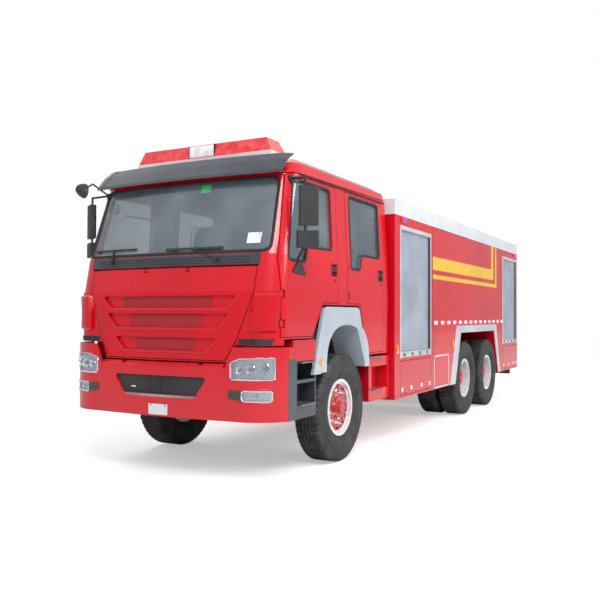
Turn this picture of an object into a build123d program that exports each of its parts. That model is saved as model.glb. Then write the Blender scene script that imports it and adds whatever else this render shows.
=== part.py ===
"""Crew-cab fire truck with roller-shutter lockers, three axles and a tilting cab.

All sizes are in millimetres. While a piece is modelled, y is the distance back from the
bumper's face, x is positive to the vehicle's left and z is the height over the ground.
When it is written, every piece moves forward by half the overall length, so that the
origin is on the ground under the middle of the vehicle, with its front towards -Y.
"""
from build123d import *
import math
import os

# Overall size and wheels
overall_length = 9590.0
ladder_reach = 140.0
body_half_width = 1250.0
front_overhang = 1600.0
wheelbase = 4325.0
bogie_spacing = 1350.0
tyre_radius = 562.5
tyre_width = 315.0
rim_radius = 290.0
front_wheel_x = 1011.0
rear_outer_wheel_x = 1090.0
twin_spacing = 348.0

# Clearances
door_gap = 6.0
hinge_edge_gap = 12.0
seat_gap = 0.3
shaft_clearance = 0.05
moving_gap = 7.0

# Chassis
rail_outer_x = 430.0
rail_flange = 80.0
rail_wall = 8.0
frame_bottom_z = 760.0
frame_top_z = 1000.0
frame_front_y = 75.0
frame_rear_y = 9300.0
kingpin_x = 900.0
kingpin_radius = 26.0
spindle_radius = 40.0
rear_spindle_radius = 50.0
steering_arm_length = 220.0
steering_arm_inset = 80.0

# Cab shell
cab_rear_y = 2750.0
cab_wall = 60.0
cab_low_z = 1100.0
cab_front_floor_z = 1310.0
cab_arch_z = 1630.0
cab_rear_floor_z = 1090.0
firewall_depth = 240.0
roof_crown_z = 3050.0
tilt_axis_y = 100.0
tilt_axis_z = 950.0
tilt_pin_radius = 20.0
door_thickness = 60.0
glass_thickness = 6.0

# Bumper
bumper_half_width = 1245.0
bumper_bottom_z = 580.0
bumper_middle_top_z = 1048.0
bumper_pod_top_z = 1240.0
bumper_wall = 25.0

# Rear body
body_front_y = 2840.0
body_low_z = 520.0
body_floor_z = 1000.0
arch_top_z = 1271.0
body_top_z = 2745.0
parapet_top_z = 2930.0
parapet_wall = 40.0
deck_thickness = 20.0
locker_seam_y = 4250.0
pump_seam_y = 8140.0
shutter_recess = 40.0
shutter_slat_pitch = 40.0
shutter_thickness = 14.0
flap_thickness = 35.0
trim_thickness = 8.0

axle_z = tyre_radius
front_axle_y = front_overhang
rear_axle_ys = (front_overhang + wheelbase, front_overhang + wheelbase + bogie_spacing)
rear_inner_wheel_x = rear_outer_wheel_x - twin_spacing
SIDES = (("left", 1), ("right", -1))
parts = {}


# Small helpers

def box(x_span, y_span, z_span):
    """A box between pairs of limits."""
    size = [span[1] - span[0] for span in (x_span, y_span, z_span)]
    low = [span[0] for span in (x_span, y_span, z_span)]
    return Pos(*[a + s / 2 for a, s in zip(low, size)]) * Box(*size)


def side_prism(points, x_span, radius=0.0):
    """An outline of (y, z) points, its corners rounded, pushed across the vehicle."""
    loop = FilletPolyline(*points, radius=radius, close=True) if radius else Polyline(*points, close=True)
    face = Plane.YZ.offset(x_span[0]) * make_face(loop)
    return extrude(face, amount=x_span[1] - x_span[0], dir=(1, 0, 0))


def front_prism(points, y_span, radius=0.0):
    """An outline of (x, z) points, its corners rounded, pushed back along the vehicle."""
    loop = FilletPolyline(*points, radius=radius, close=True) if radius else Polyline(*points, close=True)
    face = Plane.XZ.offset(-y_span[0]) * make_face(loop)
    return extrude(face, amount=y_span[1] - y_span[0], dir=(0, 1, 0))


def plan_prism(points, z_span):
    """An outline of (x, y) points pushed upwards."""
    face = Plane.XY.offset(z_span[0]) * make_face(Polyline(*points, close=True))
    return extrude(face, amount=z_span[1] - z_span[0], dir=(0, 0, 1))


def rod(start, end, radius):
    """A round bar from one point to another."""
    a, b = Vector(*start), Vector(*end)
    return Solid.make_cylinder(radius, (b - a).length, Plane(a, z_dir=b - a))


def turned(profile, y, z):
    """A solid turned about a crosswise axle at (y, z), from an outline of (x, radius) points."""
    face = make_face(Polyline(*profile, close=True))
    solid = revolve(face, axis=Axis.X)
    return Pos(0, y, z) * solid


def flipped(shape):
    """The same piece on the other side of the vehicle."""
    return mirror(shape, about=Plane.YZ)


def on_side(shape, side):
    """A left-hand piece, or its mirror image for the right."""
    return shape if side > 0 else flipped(shape)


def both(shape):
    """A left-hand piece and its mirror image, as separate solids."""
    return Compound(children=[*solids_of(shape), *solids_of(flipped(shape))])


def solids_of(shape):
    """The single solids of a shape."""
    return list(shape.solids())


# Chassis

cross_member_ys = (700.0, 3300.0, 4300.0, 5200.0, 6600.0, 7950.0, 9200.0)
underrun_z = (400.0, 500.0)


def ladder_frame():
    """Two channel rails with cross members, cab tilt pins, rear cab rests and underrun bar."""
    inner_x = rail_outer_x - rail_flange
    rail = box((inner_x, rail_outer_x), (frame_front_y, frame_rear_y), (frame_bottom_z, frame_top_z))
    hollow = box((inner_x - 1, rail_outer_x - rail_wall), (frame_front_y - 1, frame_rear_y + 1),
                 (frame_bottom_z + rail_wall, frame_top_z - rail_wall))
    pin = rod((rail_outer_x - rail_wall, tilt_axis_y, tilt_axis_z),
              (rail_outer_x + 50, tilt_axis_y, tilt_axis_z), tilt_pin_radius)
    rest = box((inner_x, rail_outer_x), (2520, 2640), (frame_top_z, cab_rear_floor_z - seat_gap))
    hanger = box((inner_x, rail_outer_x), (frame_rear_y - 90, frame_rear_y), (underrun_z[1], frame_bottom_z))
    half = rail - hollow + pin + rest + hanger
    frame = half + flipped(half)
    for y in cross_member_ys:
        frame += box((rail_wall - rail_outer_x, rail_outer_x - rail_wall), (y - 40, y + 40),
                     (frame_bottom_z + 60, frame_top_z - 60))
    frame += box((-1150, 1150), (frame_rear_y - 70, frame_rear_y - 20), underrun_z)
    return frame + tow_jaw()


# Rear tow jaw: half width, depth, heights of its block and of its slot, and where its pin goes
tow_jaw_half_width = 70.0
tow_jaw_depth = 260.0
tow_jaw_zs = (820.0, 940.0)
tow_slot_zs = (855.0, 905.0)
tow_pin_y = 9505.0
tow_pin_radius = 20.0


def tow_jaw():
    """The rear end plate between the rails, with a forked jaw bored for a tow pin."""
    low, high = tow_jaw_zs
    half, back = tow_jaw_half_width, frame_rear_y + tow_jaw_depth
    plate_half = rail_outer_x - rail_wall
    plate = box((-plate_half, plate_half), (frame_rear_y - 20, frame_rear_y), (low, high))
    jaw = box((-half, half), (frame_rear_y - 1, back), tow_jaw_zs)
    jaw -= box((-half - 1, half + 1), (frame_rear_y + tow_jaw_depth / 2, back + 1), tow_slot_zs)
    return plate + jaw - rod((0, tow_pin_y, low - 1), (0, tow_pin_y, high + 1), tow_pin_radius)


def axle_beam():
    """The dropped front beam with an eye for a kingpin at each end."""
    eye_half = 55.0
    eye_radius = 45.0
    drop = 70.0
    bend_x = kingpin_x - 110
    arm = front_prism([(0, axle_z - drop - 60), (bend_x - 230, axle_z - drop - 60), (bend_x, axle_z - 42),
                       (kingpin_x, axle_z - 42), (kingpin_x, axle_z + 42), (bend_x, axle_z + 42),
                       (bend_x - 230, axle_z - drop + 60), (0, axle_z - drop + 60)],
                      (front_axle_y - 42, front_axle_y + 42))
    seat = box((340, 450), (front_axle_y - 60, front_axle_y + 60), (axle_z - drop + 50, front_spring_seat_z))
    eye = rod((kingpin_x, front_axle_y, axle_z - eye_half), (kingpin_x, front_axle_y, axle_z + eye_half), eye_radius)
    bore = rod((kingpin_x, front_axle_y, axle_z - 80), (kingpin_x, front_axle_y, axle_z + 80),
               kingpin_radius + shaft_clearance)
    half = arm + seat + eye - bore
    return half + flipped(half)


front_spring_seat_z = 600.0
front_spring_ys = (760.0, 2440.0)
leaf_thickness = 18.0
leaf_sag = 60.0
rear_spring_hub_z = 640.0


def leaf(y_middle, half_length, low_z, sag):
    """One curved leaf, lowest in the middle, as a band between two arcs."""
    top = low_z + leaf_thickness
    low = ThreePointArc((y_middle - half_length, low_z + sag), (y_middle, low_z), (y_middle + half_length, low_z + sag))
    high = ThreePointArc((y_middle + half_length, top + sag), (y_middle, top), (y_middle - half_length, top + sag))
    outline = [low, Line(low @ 1, high @ 0), high, Line(high @ 1, low @ 0)]
    face = Plane.YZ.offset(rail_outer_x - rail_flange) * make_face(Curve() + outline)
    return extrude(face, amount=rail_flange, dir=(1, 0, 0))


def front_spring():
    """A leaf pack on the beam's seat, with a shackle bracket up to the rail at each end."""
    middle = sum(front_spring_ys) / 2
    half = (front_spring_ys[1] - front_spring_ys[0]) / 2
    pack = None
    for step in range(4):
        share = 0.45 + 0.55 * step / 3
        piece = leaf(middle, half * share, front_spring_seat_z + step * leaf_thickness, leaf_sag * share * share)
        pack = piece if pack is None else pack + piece
    end_z = front_spring_seat_z + 3 * leaf_thickness + leaf_sag
    for y in front_spring_ys:
        inward = 1 if y < middle else -1
        ys = sorted((y, y + inward * 70))
        pack += box((rail_outer_x - rail_flange, rail_outer_x), ys, (end_z, frame_bottom_z))
    return pack


def rear_spring():
    """The bogie's leaf pack: it rests on both axles and hangs on the trunnion under the rail."""
    middle = sum(rear_axle_ys) / 2
    half = bogie_spacing / 2 + 80
    top = rear_spring_hub_z + 4 * leaf_thickness
    x_span = (rail_outer_x - rail_flange, rail_outer_x)
    pack = None
    for step in range(4):
        reach = half * (1.0 - 0.22 * step)
        piece = box(x_span, (middle - reach, middle + reach),
                    (rear_spring_hub_z + step * leaf_thickness, rear_spring_hub_z + (step + 1) * leaf_thickness))
        pack = piece if pack is None else pack + piece
    saddle = side_prism([(middle - 170, frame_bottom_z), (middle - 110, top), (middle + 110, top),
                         (middle + 170, frame_bottom_z)], x_span)
    return pack + saddle


def leaf_springs():
    """All four leaf packs."""
    return both(Compound(children=[*solids_of(front_spring()), *solids_of(rear_spring())]))


drive_line_z = 660.0
axle_tube_radius = 75.0
differential_radius = 215.0


def rear_axle(y):
    """One driven axle: its tube, differential housing, brake flanges and wheel spindles."""
    spindle_end = rear_outer_wheel_x + 20
    flange_x = rear_inner_wheel_x - tyre_width / 2 + 10
    housing = Pos(0, y, axle_z) * Sphere(differential_radius)
    tube = rod((-flange_x, y, axle_z), (flange_x, y, axle_z), axle_tube_radius)
    spindle = rod((-spindle_end, y, axle_z), (spindle_end, y, axle_z), rear_spindle_radius)
    flange = rod((flange_x - 15, y, axle_z), (flange_x, y, axle_z), 190)
    seat_x = (rail_outer_x - rail_flange, rail_outer_x)
    seat = box(seat_x, (y - 60, y + 60), (axle_z, rear_spring_hub_z))
    nose = rod((0, y - 330, drive_line_z), (0, y + 330, drive_line_z), 70)
    return housing + tube + spindle + flange + flipped(flange) + seat + flipped(seat) + nose


def axles():
    """The front beam and both driven rear axles, each a solid of its own."""
    pieces = [axle_beam(), *(rear_axle(y) for y in rear_axle_ys)]
    return Compound(children=[solid for piece in pieces for solid in solids_of(piece)])


engine_ys = (950.0, 2340.0)
engine_half_width = 330.0
engine_zs = (620.0, 1500.0)
gearbox_rear_y = 3150.0


def engine_block():
    """The engine as one plain block, on feet that stand on the rails."""
    block = box((-engine_half_width, engine_half_width), engine_ys, engine_zs)
    for y in (1100.0, 2150.0):
        block += box((-rail_outer_x + 20, rail_outer_x - 20), (y, y + 120), (frame_top_z, frame_top_z + 60))
    return block


def driveline():
    """Gearbox behind the engine, propeller shaft to the first axle and the short one between."""
    y0 = engine_ys[1]
    case = side_prism([(y0, 620), (y0, 1050), (y0 + 260, 960), (gearbox_rear_y, 820),
                       (gearbox_rear_y, 560), (y0 + 260, 540)], (-200, 200))
    first_nose = rear_axle_ys[0] - 330
    long_shaft = rod((0, gearbox_rear_y, drive_line_z), (0, first_nose, drive_line_z), 55)
    joint = rod((0, first_nose - 120, drive_line_z), (0, first_nose, drive_line_z), 85)
    short_shaft = rod((0, rear_axle_ys[0] + 330, drive_line_z), (0, rear_axle_ys[1] - 330, drive_line_z), 55)
    return Compound(children=[*solids_of(case + long_shaft + joint), *solids_of(short_shaft)])


# Steering

knuckle_gap = 6.0
fork_thickness = 42.0
steering_arm_end = (kingpin_x - steering_arm_inset, front_axle_y + steering_arm_length)
ball_radius = 12.0
hub_inner_x = 998.0


def knuckle():
    """A left-hand steering knuckle: kingpin, fork, wheel spindle and steering arm."""
    eye_half = 55.0
    low = axle_z - eye_half - knuckle_gap
    high = axle_z + eye_half + knuckle_gap
    y_span = (front_axle_y - 60, front_axle_y + 60)
    x_span = (kingpin_x - 45, kingpin_x + 90)
    fork = box(x_span, y_span, (low - fork_thickness, low)) + box(x_span, y_span, (high, high + fork_thickness))
    plate = box((kingpin_x + 52, kingpin_x + 90), (front_axle_y - 90, front_axle_y + 90),
                (low - fork_thickness, high + fork_thickness))
    pin = rod((kingpin_x, front_axle_y, low - 5), (kingpin_x, front_axle_y, high + 5), kingpin_radius)
    spindle = rod((kingpin_x + 80, front_axle_y, axle_z), (front_wheel_x + 85, front_axle_y, axle_z), spindle_radius)
    tip_x, tip_y = steering_arm_end
    arm = plan_prism([(kingpin_x - 40, front_axle_y + 40), (kingpin_x + 40, front_axle_y + 55),
                      (tip_x + 26, tip_y + 10), (tip_x, tip_y + 28), (tip_x - 26, tip_y + 10)],
                     (low - fork_thickness, low - 14))
    return fork + plate + pin + spindle + arm


def ball_pin():
    """The pin on the left steering arm that the track rod turns on."""
    tip_x, tip_y = steering_arm_end
    low = axle_z - 55.0 - knuckle_gap
    return rod((tip_x, tip_y, low - 20), (tip_x, tip_y, low + 44), ball_radius)


def track_rod():
    """The rod over both steering arms: an eye turns on the left ball pin, the right end runs free."""
    tip_x, tip_y = steering_arm_end
    low = axle_z - 55.0 - knuckle_gap
    z = low + 14
    bar = rod((-tip_x, tip_y, z), (tip_x, tip_y, z), 16)
    for x in (-tip_x, tip_x):
        bar += rod((x, tip_y, z - 20), (x, tip_y, z + 20), 27)
    return bar - rod((tip_x, tip_y, z - 40), (tip_x, tip_y, z + 40), ball_radius + shaft_clearance)


# Wheels

# Half outline of a tyre: distance from its middle plane, radius
TYRE_SHAPE = ((100.0, rim_radius), (tyre_width / 2, 385.0), (tyre_width / 2 - 4, 470.0),
              (tyre_width / 2 - 36, tyre_radius - 8), (tyre_width / 2 - 62, tyre_radius))
rim_half_width = 118.0
rim_lip = 6.0
rim_sheet = 28.0
hand_hole_count = 10
drum_radius = 190.0


def tyre(x_middle, y):
    """One tyre, from the rim's seat out to its tread."""
    outer = [(x_middle + dx, r) for dx, r in TYRE_SHAPE]
    inner = [(x_middle - dx, r) for dx, r in reversed(TYRE_SHAPE)]
    return turned(outer + inner, y, axle_z)


def barrel_outline(x_middle, direction):
    """The rim's barrel as (x, radius) points, from its inner edge over both lips."""
    seat = rim_radius - rim_sheet
    lip = rim_radius + rim_lip
    steps = ((-rim_half_width, seat), (-rim_half_width, lip), (-rim_half_width + 10, lip),
             (-rim_half_width + 10, rim_radius), (rim_half_width - 10, rim_radius),
             (rim_half_width - 10, lip), (rim_half_width, lip), (rim_half_width, seat))
    return [(x_middle + direction * dx, r) for dx, r in steps]


def hand_holes(x_span, y, radius, hole_radius):
    """The ring of round holes through a wheel disc."""
    holes = None
    for step in range(hand_hole_count):
        angle = 2 * math.pi * (step + 0.5) / hand_hole_count
        hole_y = y + radius * math.cos(angle)
        hole_z = axle_z + radius * math.sin(angle)
        hole = rod((x_span[0], hole_y, hole_z), (x_span[1], hole_y, hole_z), hole_radius)
        holes = hole if holes is None else holes + hole
    return holes


def front_rim():
    """The left front rim with its domed disc, hub and cap, bored for the knuckle's spindle."""
    seat = rim_radius - rim_sheet
    x = front_wheel_x
    spindle_end = x + 85
    disc = [(x + 89, seat), (x + 75, 205), (x + 79, drum_radius), (x + 79, 118), (x + 104, 110), (x + 104, 66),
            (x + 138, 58), (x + 144, 0)]
    outline = [(hub_inner_x, 0), (hub_inner_x, drum_radius), (x + 47, drum_radius), (x + 61, seat)]
    outline += barrel_outline(x, 1) + disc
    solid = turned(outline, front_axle_y, axle_z)
    bore = rod((hub_inner_x - 10, front_axle_y, axle_z), (spindle_end + moving_gap, front_axle_y, axle_z),
               spindle_radius + shaft_clearance)
    return solid - bore - hand_holes((x + 30, x + 120), front_axle_y, 227, 23)


def twin_rims(y):
    """A left pair of rear rims, back to back on their drum and hub."""
    seat = rim_radius - rim_sheet
    outer, inner = rear_outer_wheel_x, rear_inner_wheel_x
    middle = (outer + inner) / 2
    drum_x = inner - tyre_width / 2 + 18
    hub_end = outer + 45
    outline = [(drum_x, 0), (drum_x, drum_radius + 5), (middle - 26, drum_radius + 5), (middle - 26, 205),
               (inner + 90, seat)]
    outline += barrel_outline(inner, 1)[:-1]
    outline += [(inner + rim_half_width, seat + 13), (middle - 12, 222), (middle + 12, 222),
                (outer - rim_half_width, seat + 13)]
    outline += barrel_outline(outer, 1)[1:]
    outline += [(outer - 90, seat), (middle + 26, 205), (middle + 26, 122), (hub_end - 20, 106),
                (hub_end, 88), (hub_end, 0)]
    solid = turned(outline, y, axle_z)
    bore = rod((drum_x - 10, y, axle_z), (outer + 20 + moving_gap, y, axle_z), rear_spindle_radius + shaft_clearance)
    return solid - bore - hand_holes((middle - 80, middle + 80), y, 241, 14)


# Cab

# Sections of the cab's skin: height, half width, middle of the front, back
CAB_SECTIONS = (
    (1060.0, 1192.0, 58.0, cab_rear_y),
    (1740.0, 1200.0, 80.0, cab_rear_y),
    (2080.0, 1190.0, 140.0, cab_rear_y),
    (2860.0, 1152.0, 400.0, cab_rear_y),
    (2970.0, 1120.0, 480.0, cab_rear_y - 15),
    (roof_crown_z, 980.0, 640.0, cab_rear_y - 100),
)
front_bow = 60.0
corner_width = 250.0
corner_depth = 200.0


def cab_plan(half_width, front_y, rear_y):
    """The cab's outline from above: a bowed front, rounded corners, straight sides and back."""
    bow_x = half_width - corner_width
    corner_y = front_y + front_bow
    side_y = corner_y + corner_depth
    turn_x = bow_x + corner_width * math.sin(math.radians(50))
    turn_y = corner_y + corner_depth * (1 - math.cos(math.radians(50)))
    front = ThreePointArc((-bow_x, corner_y), (0, front_y), (bow_x, corner_y))
    left = ThreePointArc((bow_x, corner_y), (turn_x, turn_y), (half_width, side_y))
    right = ThreePointArc((-half_width, side_y), (-turn_x, turn_y), (-bow_x, corner_y))
    back = Polyline((half_width, side_y), (half_width, rear_y), (-half_width, rear_y), (-half_width, side_y))
    return make_face(Curve() + [front, left, back, right])


def cab_skin(inset):
    """The cab's full form, moved inwards by the inset on its front, sides, back and roof."""
    faces = []
    for z, half_width, front_y, rear_y in CAB_SECTIONS:
        top = z - inset if z == roof_crown_z else z
        faces.append(Pos(0, 0, top) * cab_plan(half_width - inset, front_y + inset, rear_y - inset))
    return loft(faces, ruled=True)


# The cab's lower edge as (y, z): firewall, front floor, wheel arch, rear step well
CAB_EDGE = ((firewall_depth + 60, cab_low_z), (firewall_depth + 60, cab_front_floor_z), (830.0, cab_front_floor_z),
            (1050.0, cab_arch_z), (1930.0, cab_arch_z), (2130.0, cab_rear_floor_z))
tunnel_half_width = 450.0
tunnel_ys = (firewall_depth + 60, 2450.0)

# Outlines of doors and windows as (y, z)
FRONT_DOOR = ((262.0, 1330.0), (826.0, 1330.0), (1046.0, 1652.0), (1390.0, 1652.0), (1390.0, 2830.0),
              (505.0, 2830.0), (275.0, 2050.0))
REAR_DOOR = ((1625.0, 1652.0), (1955.0, 1652.0), (2148.0, 1112.0), (2610.0, 1112.0), (2610.0, 2830.0),
             (1625.0, 2830.0))
FRONT_WINDOW = ((372.0, 2035.0), (700.0, 2035.0), (745.0, 2180.0), (1265.0, 2190.0), (1265.0, 2790.0),
                (560.0, 2790.0))
REAR_WINDOW = ((1730.0, 2025.0), (1960.0, 2025.0), (2010.0, 2190.0), (2510.0, 2190.0), (2510.0, 2795.0),
               (1730.0, 2795.0))
window_corner = 35.0
# Doors: name, outline, window, hinge axis (x, y), hinge heights, handle's y
DOORS = (
    ("front", FRONT_DOOR, FRONT_WINDOW, (1172.0, 285.0), (1450.0, 1720.0), 1310.0),
    ("rear", REAR_DOOR, REAR_WINDOW, (1180.0, 1655.0), (1730.0, 2040.0), 2530.0),
)
hinge_pin_radius = 6.0
hinge_lug_radius = 12.0
hinge_lug_half = 30.0


def lower_cut():
    """Everything under the cab's lower edge, as one cutter."""
    edge = [(-60, 1000), (-60, cab_low_z), *CAB_EDGE, (cab_rear_y + 60, cab_rear_floor_z), (cab_rear_y + 60, 1000)]
    return side_prism(edge, (-1400, 1400))


def cavity_outline():
    """The cab's inside as (y, z) points: one wall above the lower edge."""
    wall = cab_wall
    behind = firewall_depth + 60
    return [(behind, cab_front_floor_z + wall), (830 - 24, cab_front_floor_z + wall), (1050 - 30, cab_arch_z + wall),
            (1930 + 35, cab_arch_z + wall), (2130 + 42, cab_rear_floor_z + wall),
            (cab_rear_y + 60, cab_rear_floor_z + wall), (cab_rear_y + 60, 3200), (-60, 3200), (-60, 1950),
            (behind, 1950)]


def door_opening(outline):
    """A cutter through the left side, larger than the door by its gaps."""
    face = make_face(Polyline(*outline, close=True))
    wide = offset(face, amount=door_gap, kind=Kind.INTERSECTION)
    wide += Pos(door_gap - hinge_edge_gap, 0) * wide
    plane = Plane.YZ.offset(1000)
    return extrude(plane * wide, amount=400, dir=(1, 0, 0))


def hinge_lug(axis, z):
    """A lug that stands out from the pillar round a door's hinge pin."""
    x, y = axis
    block = box((x - hinge_lug_radius, x + hinge_lug_radius), (y - 45, y), (z - hinge_lug_half, z + hinge_lug_half))
    end = rod((x, y, z - hinge_lug_half), (x, y, z + hinge_lug_half), hinge_lug_radius)
    bore = rod((x, y, z - 60), (x, y, z + 60), hinge_pin_radius + shaft_clearance)
    return block + end - bore


# What the cab's front leaves free for the left bumper pod, as (x, z)
POD_RELIEF = ((732.0, 1000.0), (732.0, 1115.0), (786.0, bumper_pod_top_z + 15), (1300.0, bumper_pod_top_z + 15),
              (1300.0, 1000.0))
WINDSCREEN = ((-1075.0, 2110.0), (1075.0, 2110.0), (1035.0, 2800.0), (-1035.0, 2800.0))
windscreen_corner = 70.0


def windscreen_prism():
    """The windscreen's outline pushed through the cab's front."""
    return front_prism(WINDSCREEN, (-60, 620), windscreen_corner)


# The hinged front panel as (x, z), its hinge and thickness
FRONT_PANEL = ((-690.0, 1116.0), (690.0, 1116.0), (800.0, 1300.0), (965.0, 1740.0), (975.0, 1966.0),
               (-975.0, 1966.0), (-965.0, 1740.0), (-800.0, 1300.0))
panel_thickness = 40.0
panel_recess = 52.0
panel_hinge_y = 135.0
panel_hinge_z = 1950.0
panel_hinge_xs = (-250.0, 250.0)
# Grille slots: low z, high z, half width at the bottom, half width at the top
GRILLE_SLOTS = ((1190.0, 1316.0, 480.0, 610.0), (1405.0, 1540.0, 600.0, 735.0), (1590.0, 1705.0, 685.0, 805.0))


def panel_prism(grow):
    """The front panel's outline pushed through the cab's front, larger by the given margin."""
    face = make_face(Polyline(*FRONT_PANEL, close=True))
    face = offset(face, amount=grow, kind=Kind.INTERSECTION) if grow else face
    return extrude(Plane.XZ.offset(60) * face, amount=460, dir=(0, 1, 0))


def panel_lug(x):
    """A lug behind the front panel's top edge, round its hinge pin."""
    span = (x - 12, x + 12)
    block = box(span, (panel_hinge_y, panel_hinge_y + 90), (panel_hinge_z - 12, panel_hinge_z + 12))
    end = rod((span[0], panel_hinge_y, panel_hinge_z), (span[1], panel_hinge_y, panel_hinge_z), 12)
    bore = rod((x - 40, panel_hinge_y, panel_hinge_z), (x + 40, panel_hinge_y, panel_hinge_z),
               hinge_pin_radius + shaft_clearance)
    return block + end - bore


def tilt_lug():
    """The left lug under the firewall that turns on the frame's tilt pin."""
    span = (rail_outer_x + 7, rail_outer_x + 37)
    y, z = tilt_axis_y, tilt_axis_z
    eye = rod((span[0], y, z), (span[1], y, z), 42)
    arm = side_prism([(y + 28, z - 31), (y - 30, z + 29), (y + 80, cab_low_z + 10), (y + 190, cab_low_z + 10)], span)
    bore = rod((span[0] - 5, y, z), (span[1] + 5, y, z), tilt_pin_radius + shaft_clearance)
    return eye + arm - bore


# Rain channel over the doors: its ends and heights, and how far it stands out
GUTTER = ((470.0, 2858.0), (2690.0, 2888.0), (2690.0, 2906.0), (470.0, 2876.0))
gutter_reach = 14.0
gutter_root = 10.0


def gutter():
    """The rain channel along the left roof edge."""
    return side_prism(GUTTER, (900, 1300)) & (cab_skin(-gutter_reach) - cab_skin(gutter_root))


def cab_shell():
    """The hollow cab: its skin with door, windscreen and panel openings, floor and tunnel."""
    full = cab_skin(0) - lower_cut()
    room = cab_skin(cab_wall) & side_prism(cavity_outline(), (-1400, 1400))
    tunnel = box((-tunnel_half_width - cab_wall, tunnel_half_width + cab_wall),
                 (tunnel_ys[0], tunnel_ys[1] + cab_wall), (cab_rear_floor_z, cab_arch_z + cab_wall))
    under = box((-tunnel_half_width, tunnel_half_width), tunnel_ys, (1000, cab_arch_z))
    shell = full - (room - tunnel) - under
    over_pod = front_prism(POD_RELIEF, (-60, firewall_depth + 70))
    shell = shell - over_pod - flipped(over_pod)
    recess = panel_prism(door_gap + 2) & (cab_skin(-20) - cab_skin(panel_recess))
    top_room = box((-990, 990), (-60, 400), (FRONT_PANEL[4][1], FRONT_PANEL[4][1] + 18)) & (
        cab_skin(-20) - cab_skin(panel_recess))
    shell = shell - windscreen_prism() - recess - top_room
    for _, outline, _, axis, heights, _ in DOORS:
        opening = door_opening(outline)
        shell = shell - opening - flipped(opening)
        for z in heights:
            lug = hinge_lug(axis, z)
            shell = shell + lug + flipped(lug)
    for x in panel_hinge_xs:
        shell += panel_lug(x)
    for part in (tilt_lug(), gutter()):
        shell = shell + part + flipped(part)
    return shell


# Door handle: half length and half height of its dish, and the depths of dish and grip
handle_half_length = 60.0
handle_half_height = 60.0
handle_dish_depth = 22.0
handle_grip = 5.0
handle_z = 1980.0


def handle_plate(y, half_length, z_span, outside, inside):
    """A patch of the left door's skin round the handle, between two depths."""
    patch = side_prism([(y - half_length, z_span[0]), (y + half_length, z_span[0]),
                        (y + half_length, z_span[1]), (y - half_length, z_span[1])], (1000, 1300))
    return patch & (cab_skin(outside) - cab_skin(inside))


def door(outline, window, axis, heights, handle_y):
    """A left door: the cab's skin inside its outline, with a window, a handle and hinge pins."""
    slab = cab_skin(0) - cab_skin(door_thickness)
    panel = slab & side_prism(outline, (1000, 1400))
    panel -= side_prism(window, (1000, 1400), window_corner)
    panel -= handle_plate(handle_y, handle_half_length, (handle_z - handle_half_height,
                          handle_z + handle_half_height), -30, handle_dish_depth)
    panel += handle_plate(handle_y, handle_half_length + 10, (handle_z - 8, handle_z + 34), -4, handle_grip + 8)
    x, y = axis
    for z in heights:
        reach = hinge_lug_radius + moving_gap
        half = hinge_lug_half + moving_gap
        panel -= box((1050, 1300), (y - 60, y + reach), (z - half, z + half))
        panel += rod((x, y, z - half - 15), (x, y, z + half + 15), hinge_pin_radius)
    return panel


def door_glass(window):
    """The pane of a left door, inside its window."""
    pane = cab_skin(20) - cab_skin(20 + glass_thickness)
    return pane & side_prism(window, (1000, 1400), window_corner)


def windscreen():
    """The bowed windscreen in its opening."""
    return (cab_skin(8) - cab_skin(8 + glass_thickness)) & windscreen_prism()


def front_panel():
    """The hinged front panel with its three recessed grille slots."""
    panel = panel_prism(0) & (cab_skin(0) - cab_skin(panel_thickness))
    for low, high, low_half, high_half in GRILLE_SLOTS:
        slot = front_prism([(-low_half, low), (low_half, low), (high_half, high), (-high_half, high)],
                           (-60, 400), 14)
        panel -= slot & (cab_skin(-20) - cab_skin(panel_thickness - 12))
    for x in panel_hinge_xs:
        panel -= box((x - 20, x + 20), (0, 300), (panel_hinge_z - 20, panel_hinge_z + 60))
        panel += rod((x - 34, panel_hinge_y, panel_hinge_z), (x + 34, panel_hinge_y, panel_hinge_z),
                     hinge_pin_radius)
    return panel


visor_reach = 110.0
visor_zs = (2830.0, 3040.0)
visor_half_width = 1120.0


def sun_visor():
    """The dark visor over the windscreen, on four brackets from the roof's front."""
    band = box((-visor_half_width, visor_half_width), (0, 620), visor_zs)
    shade = (cab_skin(-visor_reach) - cab_skin(-visor_reach + 14)) & band
    for x in (-900, -350, 350, 900):
        arm = box((x - 12, x + 12), (200, 620), (visor_zs[0] + 70, visor_zs[0] + 95))
        shade += (arm & cab_skin(-visor_reach + 5)) - cab_skin(-seat_gap)
    return shade


light_bar_y = 810.0
light_bar_half_length = 826.0
light_bar_zs = (3085.0, 3125.0, 3260.0)
lens_end_slant = 70.0


def light_bar_base():
    """The light bar's long base on two feet that stand on the roof."""
    low, split, _ = light_bar_zs
    base = box((-light_bar_half_length, light_bar_half_length), (light_bar_y - 150, light_bar_y + 150), (low, split))
    for x in (-640, 640):
        base += box((x - 50, x + 50), (light_bar_y - 90, light_bar_y + 90), (roof_crown_z, low))
    return base


def light_bar_lenses():
    """Two long red lenses with slanted ends and a short clear one between."""
    _, low, high = light_bar_zs
    half = light_bar_half_length
    clear_half = 155.0
    side = side_prism([(light_bar_y - 145, low), (light_bar_y - 120, high), (light_bar_y + 120, high),
                       (light_bar_y + 145, low)], (-half, half))
    ends = front_prism([(-half, low), (half, low), (half - lens_end_slant, high), (lens_end_slant - half, high)],
                       (light_bar_y - 160, light_bar_y + 160))
    lens = side & ends
    spans = ((-half, -clear_half - 1), (-clear_half, clear_half), (clear_half + 1, half))
    pieces = [solids_of(lens & box(span, (0, 2000), (low, high))) for span in spans]
    return Compound(children=[solid for group in pieces for solid in group])


wheel_centre = (520.0, 800.0, 2010.0)
steering_wheel_radius = 230.0


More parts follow.
